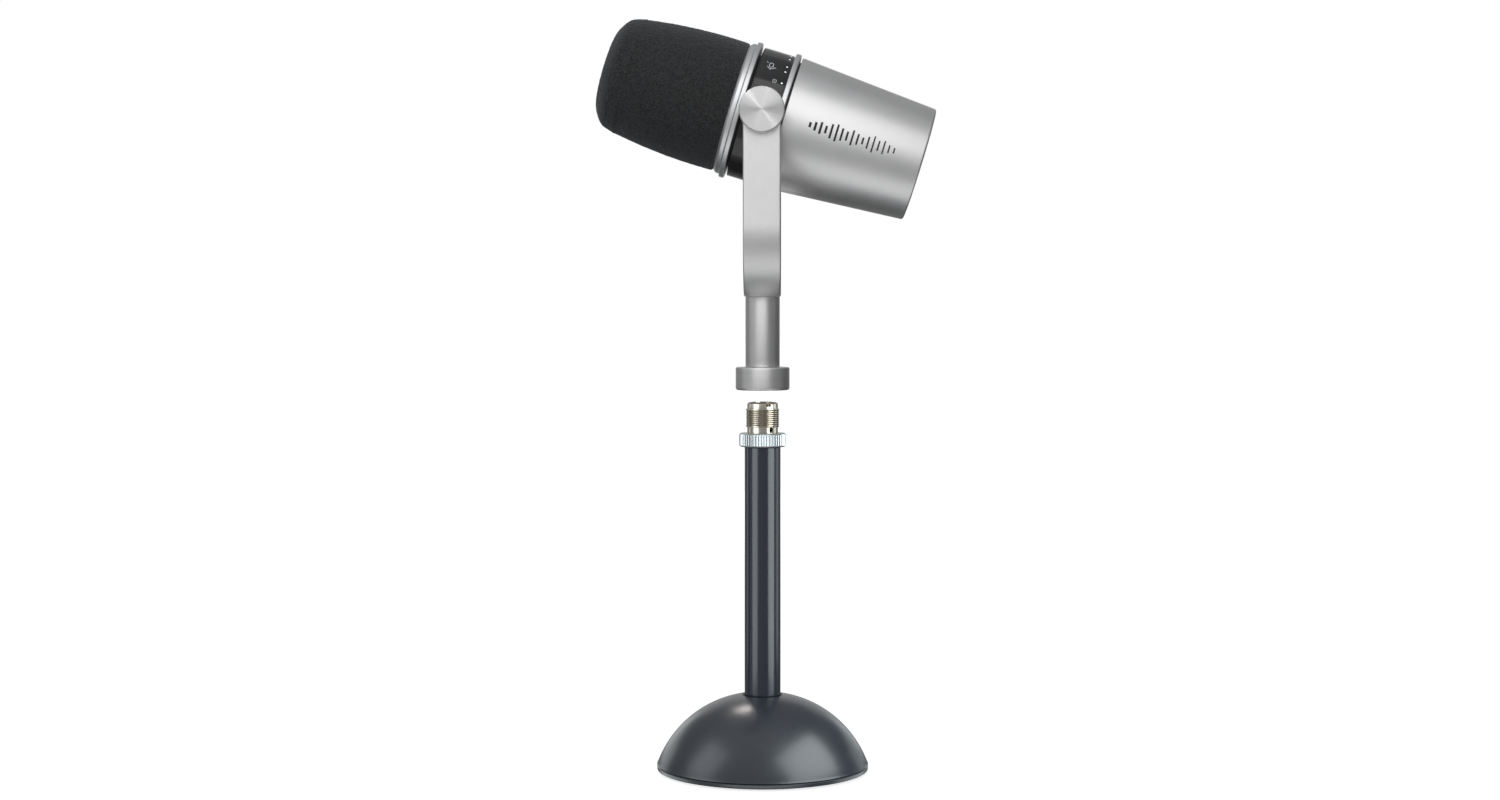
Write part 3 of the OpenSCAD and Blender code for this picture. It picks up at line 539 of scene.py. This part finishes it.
# Painted shade: the metal in the thread's grooves is painted darker than on the crests, standing in for the shade
# that falls in them.
nickel = FINISHES["nickel_thread"]
plain_nickel = nickel.shader.inputs["Base Color"].links[0].from_socket
depths = nickel.add("SeparateXYZ", _0=nickel.turned())
above = nickel.ramp(depths.outputs[2], 0, 1, plain_z * MM, (plain_z + 0.1) * MM)
below = nickel.ramp(depths.outputs[2], 1, 0, (thread_z - 0.1) * MM, thread_z * MM)
crest = nickel.ramp(depths.outputs[0], 0, 1, (insert_r - 0.45) * MM, insert_r * MM)
ends = nickel.add("Math", {"operation": "MAXIMUM"}, _0=above, _1=below)
unshaded = nickel.add("Math", {"operation": "MAXIMUM"}, _0=ends.outputs[0], _1=crest)
# The dark colour below is painted shade in the grooves; the crests and the plain ends keep the nickel colour.
nickel.link(nickel.blend(unshaded.outputs[0], (0.33, 0.29, 0.22), plain_nickel), "Base Color")
finished(thread, "nickel_thread", "stand", "thread_insert")

# ---------------------------------------------------------------- mount

collar_low, collar_top, collar_bore, collar_r = span("collar", UP)
step_z = collar_low + 7.2
step_bore = 7.5
collar_thread_r = 7.975


def collar_thread(r, z, t):
    """The collar's own V groove, cut outward into its bore."""
    if not (7.9 < r < 8.0 and collar_low + 0.8 < z < step_z - 0.3):
        return r
    phase = ((z - collar_low) / PITCH - t / (2 * math.pi)) % 1.0
    return r + 0.4 * max(0.0, 1 - abs(phase - 0.5) / 0.4)


inner_run = steps_between(collar_thread_r, collar_low + 0.75, step_z - 0.25, 0.12)
finished(lathe("captive_collar", rounded(
    [(collar_bore + 1.65, collar_low, 0.15), (collar_r, collar_low, 1.15), (collar_r, collar_top, 0.75),
     (collar_bore, collar_top, 0.15), (collar_bore, collar_top - 1.5), (step_bore, collar_top - 1.5),
     (step_bore, step_z), (collar_thread_r, step_z)], 8) + list(reversed(inner_run)), UP, 240, shape=collar_thread),
    "satin_collar", "collar", "collar")

stem_low, stem_top, stem_bore, stem_r = span("stem_sleeve", UP)
stem_outline = rounded([(stem_bore, stem_low, 0.1), (stem_r, stem_low, 0.35), (stem_r, stem_top, 0.25),
                        (stem_bore, stem_top, 0.1)])
finished(lathe("turned_stem", stem_outline, UP, 192), "satin_collar", "yoke", "stem_sleeve")

# ---------------------------------------------------------------- yoke

yoke_low, yoke_high = (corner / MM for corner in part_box("yoke"))
strip_half = yoke_high.x
bend_out = yoke_high.y
pivot_z = pivot.z / MM
corner_r = 32
flat = bend_out - corner_r
bend_z = yoke_low.z + corner_r
strip_t = 4.5
edge = rounded([(3, 0), (0, 0, 0.45), (0, strip_t, 0.8), (3, strip_t)], 5)
edge = [p for p in edge if p[0] < 2.9]
curl = math.pi / 2 * (corner_r - strip_t / 2)
arm_end = flat + curl + pivot_z - bend_z


def bent(s, w, t):
    """Bends a point of the flat strip: s along it, w across it, t out through it."""
    r = corner_r - strip_t + t
    past = abs(s) - flat
    if past <= 0:
        return (w, s, bend_z - r)
    angle = min(past / curl, 1) * math.pi / 2
    return (w, math.copysign(flat + r * math.sin(angle), s), bend_z - r * math.cos(angle) + max(0, past - curl))


ACROSS = 10
straight = [arm_end * i / 60 for i in range(61)]
stations = [(s, 0.0) for s in straight] + [(arm_end, math.radians(a)) for a in range(6, 91, 6)]
stations = [(-s, -phi) for s, phi in reversed(stations)][:-1] + stations
yoke_points = []
for s, phi in stations:
    def at(inset, across, t):
        reach = strip_half - inset
        return bent(s + reach * math.sin(phi), across * reach * math.cos(phi), t)
    loop = [at(d, 1, t) for d, t in edge]
    loop += [at(edge[-1][0], 1 - 2 * i / ACROSS, strip_t) for i in range(1, ACROSS)]
    loop += [at(d, -1, t) for d, t in reversed(edge)]
    loop += [at(edge[0][0], -1 + 2 * i / ACROSS, 0) for i in range(1, ACROSS)]
    yoke_points += loop
columns = len(yoke_points) // len(stations)
yoke = mesh_piece("u_yoke", yoke_points, grid_faces(len(stations), columns, False, True), UP, 35, 1e-3)
spot_z = yoke_low.z + strip_t - 1
carve(yoke, rod("arm_bore", 3, -bend_out - 2, bend_out + 2, NEAR),
      rod("tenon_bore", 5.05, yoke_low.z - 1, spot_z + 1),
      rod("spot_face", 7, spot_z, spot_z + 8), crease=35)
finished(yoke, "yoke_metal", "yoke", "yoke")

RIBS = 72
STUD_BORE = 2.93
for side, place, body in (("near", NEAR, "near_knob"), ("far", FAR, "far_knob")):
    low, high, _, r = span(side + "_knob", place)

    def ribbed(radius, z, t, r=r):
        if radius < r - 0.3:
            return radius
        return min(radius, r - 0.2 * (0.5 - 0.5 * math.cos(RIBS * t)) ** 2)

    outline = rounded([(STUD_BORE, low), (r - 0.45, low, 0.1), (r, low + 0.45, 0.15), (r, high - 0.45, 0.2),
                       (r - 0.45, high, 0.12), (0, high), (0, high - 1.6), (STUD_BORE, high - 1.6)], 4)
    finished(lathe(side + "_clamp_knob", outline, place, RIBS * 6, shape=ribbed, crease=40),
             "knob_metal", body, side + "_knob")

# ---------------------------------------------------------------- head

_, screen_high, _, screen_r = span("windscreen", AXIS)
FOAM_BORE = 25.15


def bulge(a):
    """The foam's radius along its side."""
    return screen_r - 0.00206 * (a + 24) ** 2


# The nose, from its side to its middle
NOSE = [(27.9, -65), (27.35, -67), (26.75, -69), (26.2, -70.6), (25.1, -72.2), (23.7, -73.5), (22.05, -74.6),
        (20.3, -75.6), (18.5, -76.4), (16, -77), (12.3, -77.4), (6.2, -77.62), (0, -77.7)]


def smooth_run(points, steps=4):
    """A smooth run of points through the given ones."""
    points = [Vector(p) for p in points]
    out = []
    for i in range(len(points) - 1):
        p0, p1, p2, p3 = (points[max(0, min(len(points) - 1, i + k))] for k in (-1, 0, 1, 2))
        for k in range(steps):
            u = k / steps
            out.append(tuple(0.5 * (2 * p1 + (p2 - p0) * u + (2 * p0 - 5 * p1 + 4 * p2 - p3) * u ** 2
                                    + (3 * p1 - p0 - 3 * p2 + p3) * u ** 3)))
    return out + [tuple(points[-1])]


foam_outline = [(FOAM_BORE, screen_high)] + [(FOAM_BORE + 0.6 * i, screen_high) for i in range(1, 9)]
foam_outline += arc((bulge(screen_high) - 1.0, screen_high - 1.0), 1.0, 90, 8, 5)
foam_outline += [(bulge(screen_high - 0.7 * i), screen_high - 0.7 * i) for i in range(3, 74)
                 if screen_high - 0.7 * i > -64.5]
foam_outline += smooth_run(NOSE)
foam_outline += [(0, -70.6), (9, -70.6)] + arc((17.95, -63.4), 7.2, -90, 0, 8)


def foamy(name, outline, place, steps):
    """A lathed form whose outside is uneven, as foam is. Its bore stays smooth."""
    points = []
    for r, z in outline:
        for j in range(steps):
            t = 2 * math.pi * j / steps
            p = Vector((r * math.cos(t), r * math.sin(t), z))
            if r > 25.3 or z < -70.8:
                rough = noise.fractal(p * 0.55, 0.9, 2.1, 4) + 0.6 * noise.noise(p * 1.9)
                out = Vector((p.x, p.y, (z + 45) * 0.9)).normalized()
                p += out * (0.11 * rough - 0.1)
            points.append(tuple(p))
    return mesh_piece(name, points, grid_faces(len(outline), steps, True, True), place, 80)


foam = finished(foamy("foam_windscreen", foam_outline, AXIS, 384), "foam", "windscreen", "windscreen")

low, high, bore, r = span("front_bezel", AXIS)
finished(lathe("nose_bezel", rounded([
    (bore, low, 0.1), (30.2, low, 0.25), (31.45, low + 1.4, 0.5), (r, high - 0.25, 0.15), (31.2, high, 0.1),
    (bore, high, 0.1)], 5), AXIS, 256), "bright_trim", "head", "front_bezel")
for node, name in (("front_lip_ring", "front_trim_ring"), ("rear_ring", "rear_trim_ring")):
    low, high, bore, r = span(node, AXIS)
    finished(lathe(name, rounded([(bore, low, 0.1), (r, low, 0.55), (r, high, 0.55), (bore, high, 0.1)], 8),
                   AXIS, 256), "bright_trim", "head", node)

shell_low, shell_high, _, shell_r = span("housing", AXIS)
tail_r, rim_r, panel_a = 26.85, 24.6, span("rear_panel", AXIS)[0]
shell_slope = (shell_r - tail_r) / (shell_high - shell_low)
shell_bore, panel_seat_r = 29.3, 23
shell_outline = rounded([
    (shell_bore, shell_low, 0.1), (shell_r, shell_low, 0.35), (tail_r + 0.06, shell_high, 1.05),
    (rim_r, shell_high, 0.3), (rim_r, panel_a - FIT), (panel_seat_r, panel_a - FIT), (panel_seat_r, 63),
    (shell_r - 2.4 - shell_slope * (60 - shell_low), 60), (shell_bore - shell_slope, 16), (shell_bore, 15)], 8)
finished(lathe("tapered_shell", shell_outline, AXIS, 256), "silver_shell", "head", "housing")

# The touch panel: a curved strip of gloss black, with rounded edges.
touch_low, touch_high, touch_in, touch_r = span("touch_panel", AXIS)
REACH = 70      # degrees from the top to each side edge


def on_shell(r, a, angle):
    """A point of the head in its lathe frame, with angle in degrees from the top toward the near side."""
    t = math.radians(angle)
    return (-r * math.cos(t), -r * math.sin(t), a)


def curved_strip(name, inner_r, outer_r, low, high, half_angle, fillet, steps=180):
    """A ring section over the top of the head."""
    section = rounded([(inner_r, low), (outer_r, low, fillet), (outer_r, high, fillet), (inner_r, high)], 4)
    points = []
    for j in range(steps + 1):
        points += [on_shell(r, a, -half_angle + 2 * half_angle * j / steps) for r, a in section]
    faces = grid_faces(steps + 1, len(section), False, True)
    faces.append(tuple(range(len(section))))
    faces.append(tuple(range(steps * len(section), (steps + 1) * len(section))))
    return mesh_piece(name, points, faces, AXIS)


finished(curved_strip("touch_glass", touch_in, touch_r, touch_low, touch_high, REACH, 0.18),
         "gloss_black", "head", "touch_panel")

# Light dots at the ends of the light pipes
LED_A, LED_ANGLES = 4.8, [-61, -48, -41, -27, -17, 17, 27, 41, 48, 61]


def stud_points(radius, a, angle, low_r, high_r, count=20):
    """A small domed peg on the panel: rings of points from its foot to its middle."""
    rings = [(radius, low_r), (radius, high_r - 0.06), (radius * 0.86, high_r - 0.015),
             (radius * 0.5, high_r), (0, high_r)]
    points = []
    for ring, height in rings:
        for k in range(count):
            u = 2 * math.pi * k / count
            across = math.degrees(ring * math.sin(u) / height)
            points.append(on_shell(height, a + ring * math.cos(u), angle + across))
    return points, grid_faces(len(rings), count, False, True)


def gathered(name, parts):
    """One piece from several (points, faces) parts."""
    points, faces = [], []
    for part_points, part_faces in parts:
        faces += [tuple(i + len(points) for i in f) for f in part_faces]
        points += part_points
    return mesh_piece(name, points, faces, AXIS)


dots = gathered("light_dots", [stud_points(0.4, LED_A, t, 29.9, touch_r + 0.05) for t in LED_ANGLES])
finished(dots, "light_plastic", "head", "light_pipes")


def stroke(path, width, r_low, r_high, closed=False):
    """A flat raised line on the panel through (a, angle) points, with its width in mm."""
    flat = [Vector((a, math.radians(t) * r_high)) for a, t in path]
    points, count = [], len(flat)
    for i, here in enumerate(flat):
        last = flat[i - 1] if i or closed else here
        after = flat[(i + 1) % count] if i < count - 1 or closed else here
        along = (after - last).normalized()
        across = Vector((-along.y, along.x)) * width / 2
        for offset, r in ((-1, r_low), (-1, r_high), (1, r_high), (1, r_low)):
            p = here + across * offset
            points.append(on_shell(r, p.x, math.degrees(p.y / r_high)))
    faces = grid_faces(count, 4, closed, True)
    if not closed:
        faces += [(0, 1, 2, 3), tuple(range(4 * count - 4, 4 * count))]
    return points, faces


# How deep a print's strokes go into the panel, and how far an icon and a fine line stand out of it
PRINT_SINK, ICON_PROUD, LINE_PROUD = 0.06, 0.025, 0.012


def icon(centre_a, centre_t, shapes, width, scale=1.0):
    """Strokes of an icon drawn in (right, up) mm about its centre, on both sides of the top."""
    parts = []
    for side in (1, -1):
        for shape, closed in shapes:
            path = [(centre_a + x * scale, side * (centre_t - math.degrees(y * scale / touch_r)))
                    for x, y in shape]
            parts.append(stroke(path, width, touch_r - PRINT_SINK, touch_r + ICON_PROUD, closed))
    return parts


def oval(cx, cy, rx, ry, start=0, end=360, steps=28):
    """Points of an oval, or of a part of one between two angles in degrees."""
    closed = end - start >= 360
    count = steps if closed else steps + 1
    return [(cx + rx * math.cos(math.radians(start + (end - start) * i / steps)),
             cy + ry * math.sin(math.radians(start + (end - start) * i / steps))) for i in range(count)]


CAPSULE_R = 0.75
capsule = [(CAPSULE_R * math.cos(math.radians(t)), middle + CAPSULE_R * math.sin(math.radians(t)))
           for middle, half_turn in ((0.75, range(0, 181, 15)), (-0.35, range(180, 361, 15))) for t in half_turn]
mute_icon = [(capsule, True), (oval(0, -0.5, 1.5, 1.5, 200, 340, 12), False), ([(0, -2.0), (0, -2.7)], False),
             ([(-2.2, 1.6), (2.2, -1.2)], False)]
square_icon = [([(-0.9, -0.9), (0.9, -0.9), (0.9, 0.9), (-0.9, 0.9)], True), ([(-0.45, 0), (0.45, 0)], False)]
glyphs = icon(-2.3, 45, mute_icon, 0.24, 1.15) + icon(1.3, 61, square_icon, 0.2, 0.9)
# The icon print glows faintly: painted light that makes it read paler, though print gives no light.
FINISHES["icon_print_painted_glow"] = grained("icon_print_painted_glow", (0.6, 0.61, 0.62), 0.4, Emission_Strength=0.3,
                                 Emission_Color=(0.9, 0.95, 1, 1))
icons = gathered("panel_icons", glyphs)
icons.data.materials.append(FINISHES["icon_print_painted_glow"].material)
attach(icons, "head")

slider = []
for side in (1, -1):
    track = [(-6.5, side * 22), (1.6, side * 22)]
    ring = [(x - 2.2, side * (29 - math.degrees(y / touch_r))) for x, y in oval(0, 0, 0.35, 0.35)]
    for path, closed in ((track, False), (ring, True)):
        slider.append(stroke(path, 0.16, touch_r - PRINT_SINK, touch_r + LINE_PROUD, closed))
FINISHES["faint_print"] = grained("faint_print", (0.16, 0.16, 0.165), 0.4)
faint = gathered("panel_lines", slider)
faint.data.materials.append(FINISHES["faint_print"].material)
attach(faint, "head")

# A plain sound-level print on each side of the shell
BARS = [0.3, 0.5, 0.7, 0.44, 0.84, 1.0, 0.74, 0.54, 0.9, 0.64, 0.4, 0.7, 0.96, 0.6, 0.78, 0.46, 0.32]
BAR_START, BAR_STEP, BAR_HALF, BAR_WIDTH = 22.5, 2.5, 4.0, 1.8
parts = []
for side in (1, -1):
    for i, tall in enumerate(BARS):
        a = BAR_START + i * BAR_STEP
        r = shell_r - shell_slope * (a - shell_low)
        half = BAR_HALF * tall
        middle = 90 - math.degrees(0.6 / r)
        path = [(a, side * (middle + math.degrees(u * half / r))) for u in (-1, -0.6, -0.2, 0.2, 0.6, 1)]
        parts.append(stroke(path, BAR_WIDTH, r - 0.05, r + 0.03))
FINISHES["bar_print"] = grained("bar_print", (0.012, 0.0122, 0.0128), 0.5, grain=1800, depth=0.000008)
bars = gathered("level_print", parts)
bars.data.materials.append(FINISHES["bar_print"].material)
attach(bars, "head")

# Every CAD node gets its material here. Those that a piece stands for are hidden.
for name, node in NODES.items():
    node.data.materials.clear()
    node.data.materials.append(FINISHES[SLOT_OF[name]].material)

# ---------------------------------------------------------------- room, lights and camera

floor_mesh = bpy.data.meshes.new("floor")
FLOOR_Z = -0.0002
floor_corners = [(x, y, FLOOR_Z) for x, y in ((-6, -6), (6, -6), (6, 12), (-6, 12))]
floor_mesh.from_pydata(floor_corners, [], [(0, 1, 2, 3)])
floor = bpy.data.objects.new("floor", floor_mesh)
bpy.context.scene.collection.objects.link(floor)
pale = Finish("pale_floor", Roughness=0.9, Specular_IOR_Level=0.0, Emission_Strength=0.8)
pale.shader.inputs["Base Color"].default_value = (0.85, 0.85, 0.85, 1)
pale.shader.inputs["Emission Color"].default_value = (1, 1, 1, 1)
floor_mesh.materials.append(pale.material)
floor.visible_glossy = False
floor.visible_diffuse = False
floor.visible_shadow = False
floor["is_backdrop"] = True

world = bpy.data.worlds.new("studio")
bpy.context.scene.world = world
world.use_nodes = True
world.cycles.sampling_method = "NONE"
tree = world.node_tree
tree.nodes.clear()


def wnode(kind, **settings):
    node = tree.nodes.new("ShaderNode" + kind)
    for key, value in settings.items():
        setattr(node, key, value)
    return node


# How bright the room is at each angle round the microphone's long axis, in degrees: from the side the
# camera stands on (0) over the top (90) to the far side (180), and under it (negative).
ROOM = [(-180, 0.22), (-150, 0.14), (-130, 0.05), (-106, 0.08), (-83, 0.42), (-60, 0.42), (-40, 0.32), (-20, 0.3),
        (0, 0.32), (20, 0.36), (45, 0.44), (65, 0.54), (84, 0.55), (107, 0.38), (135, 0.22), (155, 0.2), (180, 0.22)]
out = wnode("OutputWorld")
place = wnode("TexCoord")
axes = wnode("SeparateXYZ")
front = wnode("Math", operation="MULTIPLY")
front.inputs[1].default_value = -1
angle = wnode("Math", operation="ARCTAN2")
share = wnode("MapRange")
share.inputs["From Min"].default_value, share.inputs["From Max"].default_value = -math.pi, math.pi
curve = wnode("ValToRGB")
shine = wnode("Background")
plain = wnode("Background")
chosen = wnode("MixShader")
ray = wnode("LightPath")
plain.inputs[0].default_value = (1, 1, 1, 1)
while len(curve.color_ramp.elements) < len(ROOM):
    curve.color_ramp.elements.new(0.5)
for element, (degrees, _) in zip(curve.color_ramp.elements, ROOM):
    element.position = (degrees + 180) / 360
for element, (_, level) in zip(curve.color_ramp.elements, ROOM):
    element.color = (level * 0.985, level, level * 1.02, 1)
# The room gets dimmer toward its right end.
aside = wnode("MapRange", interpolation_type="SMOOTHSTEP")
aside.inputs["From Min"].default_value, aside.inputs["From Max"].default_value = -0.2, 1.0
aside.inputs["To Min"].default_value, aside.inputs["To Max"].default_value = 1.0, 0.45
for a, b in ((axes.outputs[0], aside.inputs["Value"]), (aside.outputs[0], shine.inputs[1]),
             (place.outputs["Generated"], axes.inputs[0]), (axes.outputs[1], front.inputs[0]),
             (axes.outputs[2], angle.inputs[0]), (front.outputs[0], angle.inputs[1]),
             (angle.outputs[0], share.inputs["Value"]), (share.outputs[0], curve.inputs[0]),
             (curve.outputs[0], shine.inputs[0]), (ray.outputs["Is Camera Ray"], chosen.inputs[0]),
             (shine.outputs[0], chosen.inputs[1]), (plain.outputs[0], chosen.inputs[2]),
             (chosen.outputs[0], out.inputs[0])):
    tree.links.new(a, b)

# Pieces of the stand and of the microphone are lit by their own softboxes.
STAND_BODIES = {"stand", "lock_ring"}
lit = {group: bpy.data.collections.new("lit_" + group) for group in ("tube", "dome", "mic", "metal", "knob")}
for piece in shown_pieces():
    of_stand = body_of(piece)[0] in STAND_BODIES
    groups = {"tube"} if of_stand else {"mic", "metal"}
    if piece.name == "domed_base":
        groups = {"dome"}
    elif piece.name == "foam_windscreen":
        groups = {"mic"}
    elif piece.name.endswith("clamp_knob"):
        groups = {"mic", "knob"}
    for group in groups:
        lit[group].objects.link(piece)


def softbox(name, azimuth, elevation, distance, width, height, radiance, group, target, colour):
    """A rectangular light, azimuth degrees to the right of the camera's side, facing the target."""
    a, e = math.radians(azimuth), math.radians(elevation)
    way = Vector((math.cos(e) * math.sin(a), -math.cos(e) * math.cos(a), math.sin(e)))
    light = bpy.data.lights.new(name, "AREA")
    light.shape, light.size, light.size_y = "RECTANGLE", width, height
    light.energy = radiance * math.pi * width * height
    light.color = colour
    lamp = bpy.data.objects.new(name, light)
    bpy.context.scene.collection.objects.link(lamp)
    lamp.location = Vector(target) + way * distance
    lamp.rotation_euler = way.to_track_quat("Z", "Y").to_euler()
    lamp.visible_camera = False
    if group:
        lamp.light_linking.receiver_collection = lit[group]


WHITE, COOL, WARM = (1, 1, 1), (0.9, 0.97, 1), (1, 0.93, 0.88)
HEAD_AT, BODY_AT, MIDDLE_AT, CROWN_AT, BASE_AT = ((0, 0, z) for z in (0.3, 0.25, 0.2, 0.03, 0.02))
# Name, azimuth, elevation, distance, width, height, radiance, what it lights, what it faces, colour
SOFTBOXES = [
    ("key", -6, 36, 1.3, 1.9, 1.15, 0.88, "mic", HEAD_AT, WHITE),
    ("front", -8, 8, 1.5, 2.1, 0.8, 0.44, "metal", BODY_AT, WHITE),
    ("bounce", 0, -68, 0.9, 1.6, 0.62, 0.36, "metal", HEAD_AT, WHITE),
    ("knob_front", -10, 4, 1.5, 1.2, 0.8, 0.33, "knob", HEAD_AT, WHITE),
    ("knob_high", -35, 38, 1.2, 0.22, 0.22, 7.0, "knob", HEAD_AT, WHITE),
    ("knob_top", 16, 46, 1.2, 0.14, 0.18, 2.5, "knob", HEAD_AT, WHITE),
    ("tube_left", -50, 8, 1.2, 0.8, 1.4, 2.3, "tube", MIDDLE_AT, COOL),
    ("tube_right", 58, 8, 1.2, 0.95, 1.4, 3.3, "tube", MIDDLE_AT, COOL),
    ("tube_far_left", -112, 4, 1.2, 0.3, 1.0, 0.7, "tube", MIDDLE_AT, COOL),
    ("tube_far_right", 108, 4, 1.2, 0.6, 1.0, 1.0, "tube", MIDDLE_AT, COOL),
    ("dome_right", 66, 41, 1.0, 1.05, 0.72, 3.9, "dome", BASE_AT, COOL),
    ("dome_left", -76, 36, 1.0, 0.55, 0.6, 1.3, "dome", BASE_AT, COOL),
    ("dome_rim_left", -144, 8, 1.0, 0.6, 0.3, 0.8, "dome", BASE_AT, COOL),
    ("dome_rim_right", 144, 8, 1.0, 0.6, 0.3, 0.6, "dome", BASE_AT, COOL),
    ("dome_low", 0, -18, 1.0, 1.8, 0.4, 1.5, "dome", BASE_AT, COOL),
    ("dome_low_left", -115, -20, 1.0, 1.0, 0.5, 1.4, "dome", BASE_AT, COOL),
    ("dome_low_right", 115, -20, 1.0, 1.0, 0.5, 1.4, "dome", BASE_AT, COOL),
    ("dome_spot", -168, 52, 1.0, 0.24, 0.13, 14.0, "dome", CROWN_AT, WARM),
    ("behind", 180, 8, 1.6, 1.5, 1.0, 0.4, None, MIDDLE_AT, WHITE),
    ("behind_mic", 180, 8, 1.6, 1.5, 1.0, 0.8, "mic", MIDDLE_AT, WHITE),
    ("back_key", 180, 38, 1.3, 1.9, 1.0, 0.12, "mic", HEAD_AT, WHITE),
]
for row in SOFTBOXES:
    softbox(*row)

camera = bpy.data.objects.new("camera", bpy.data.cameras.new("camera"))
bpy.context.scene.collection.objects.link(camera)
camera.data.lens, camera.data.sensor_width, camera.data.shift_y = 55.488, 36, -0.03
camera.location = (0.01028, -1.08988, 0.21991)
yaw, tilt = -0.014888, -0.021803
aim = Vector((math.sin(yaw) * math.cos(tilt), math.cos(yaw) * math.cos(tilt), math.sin(tilt)))
camera.rotation_euler = aim.to_track_quat("-Z", "Y").to_euler()
bpy.context.scene.camera = camera
bpy.context.scene.view_settings.view_transform = "Standard"
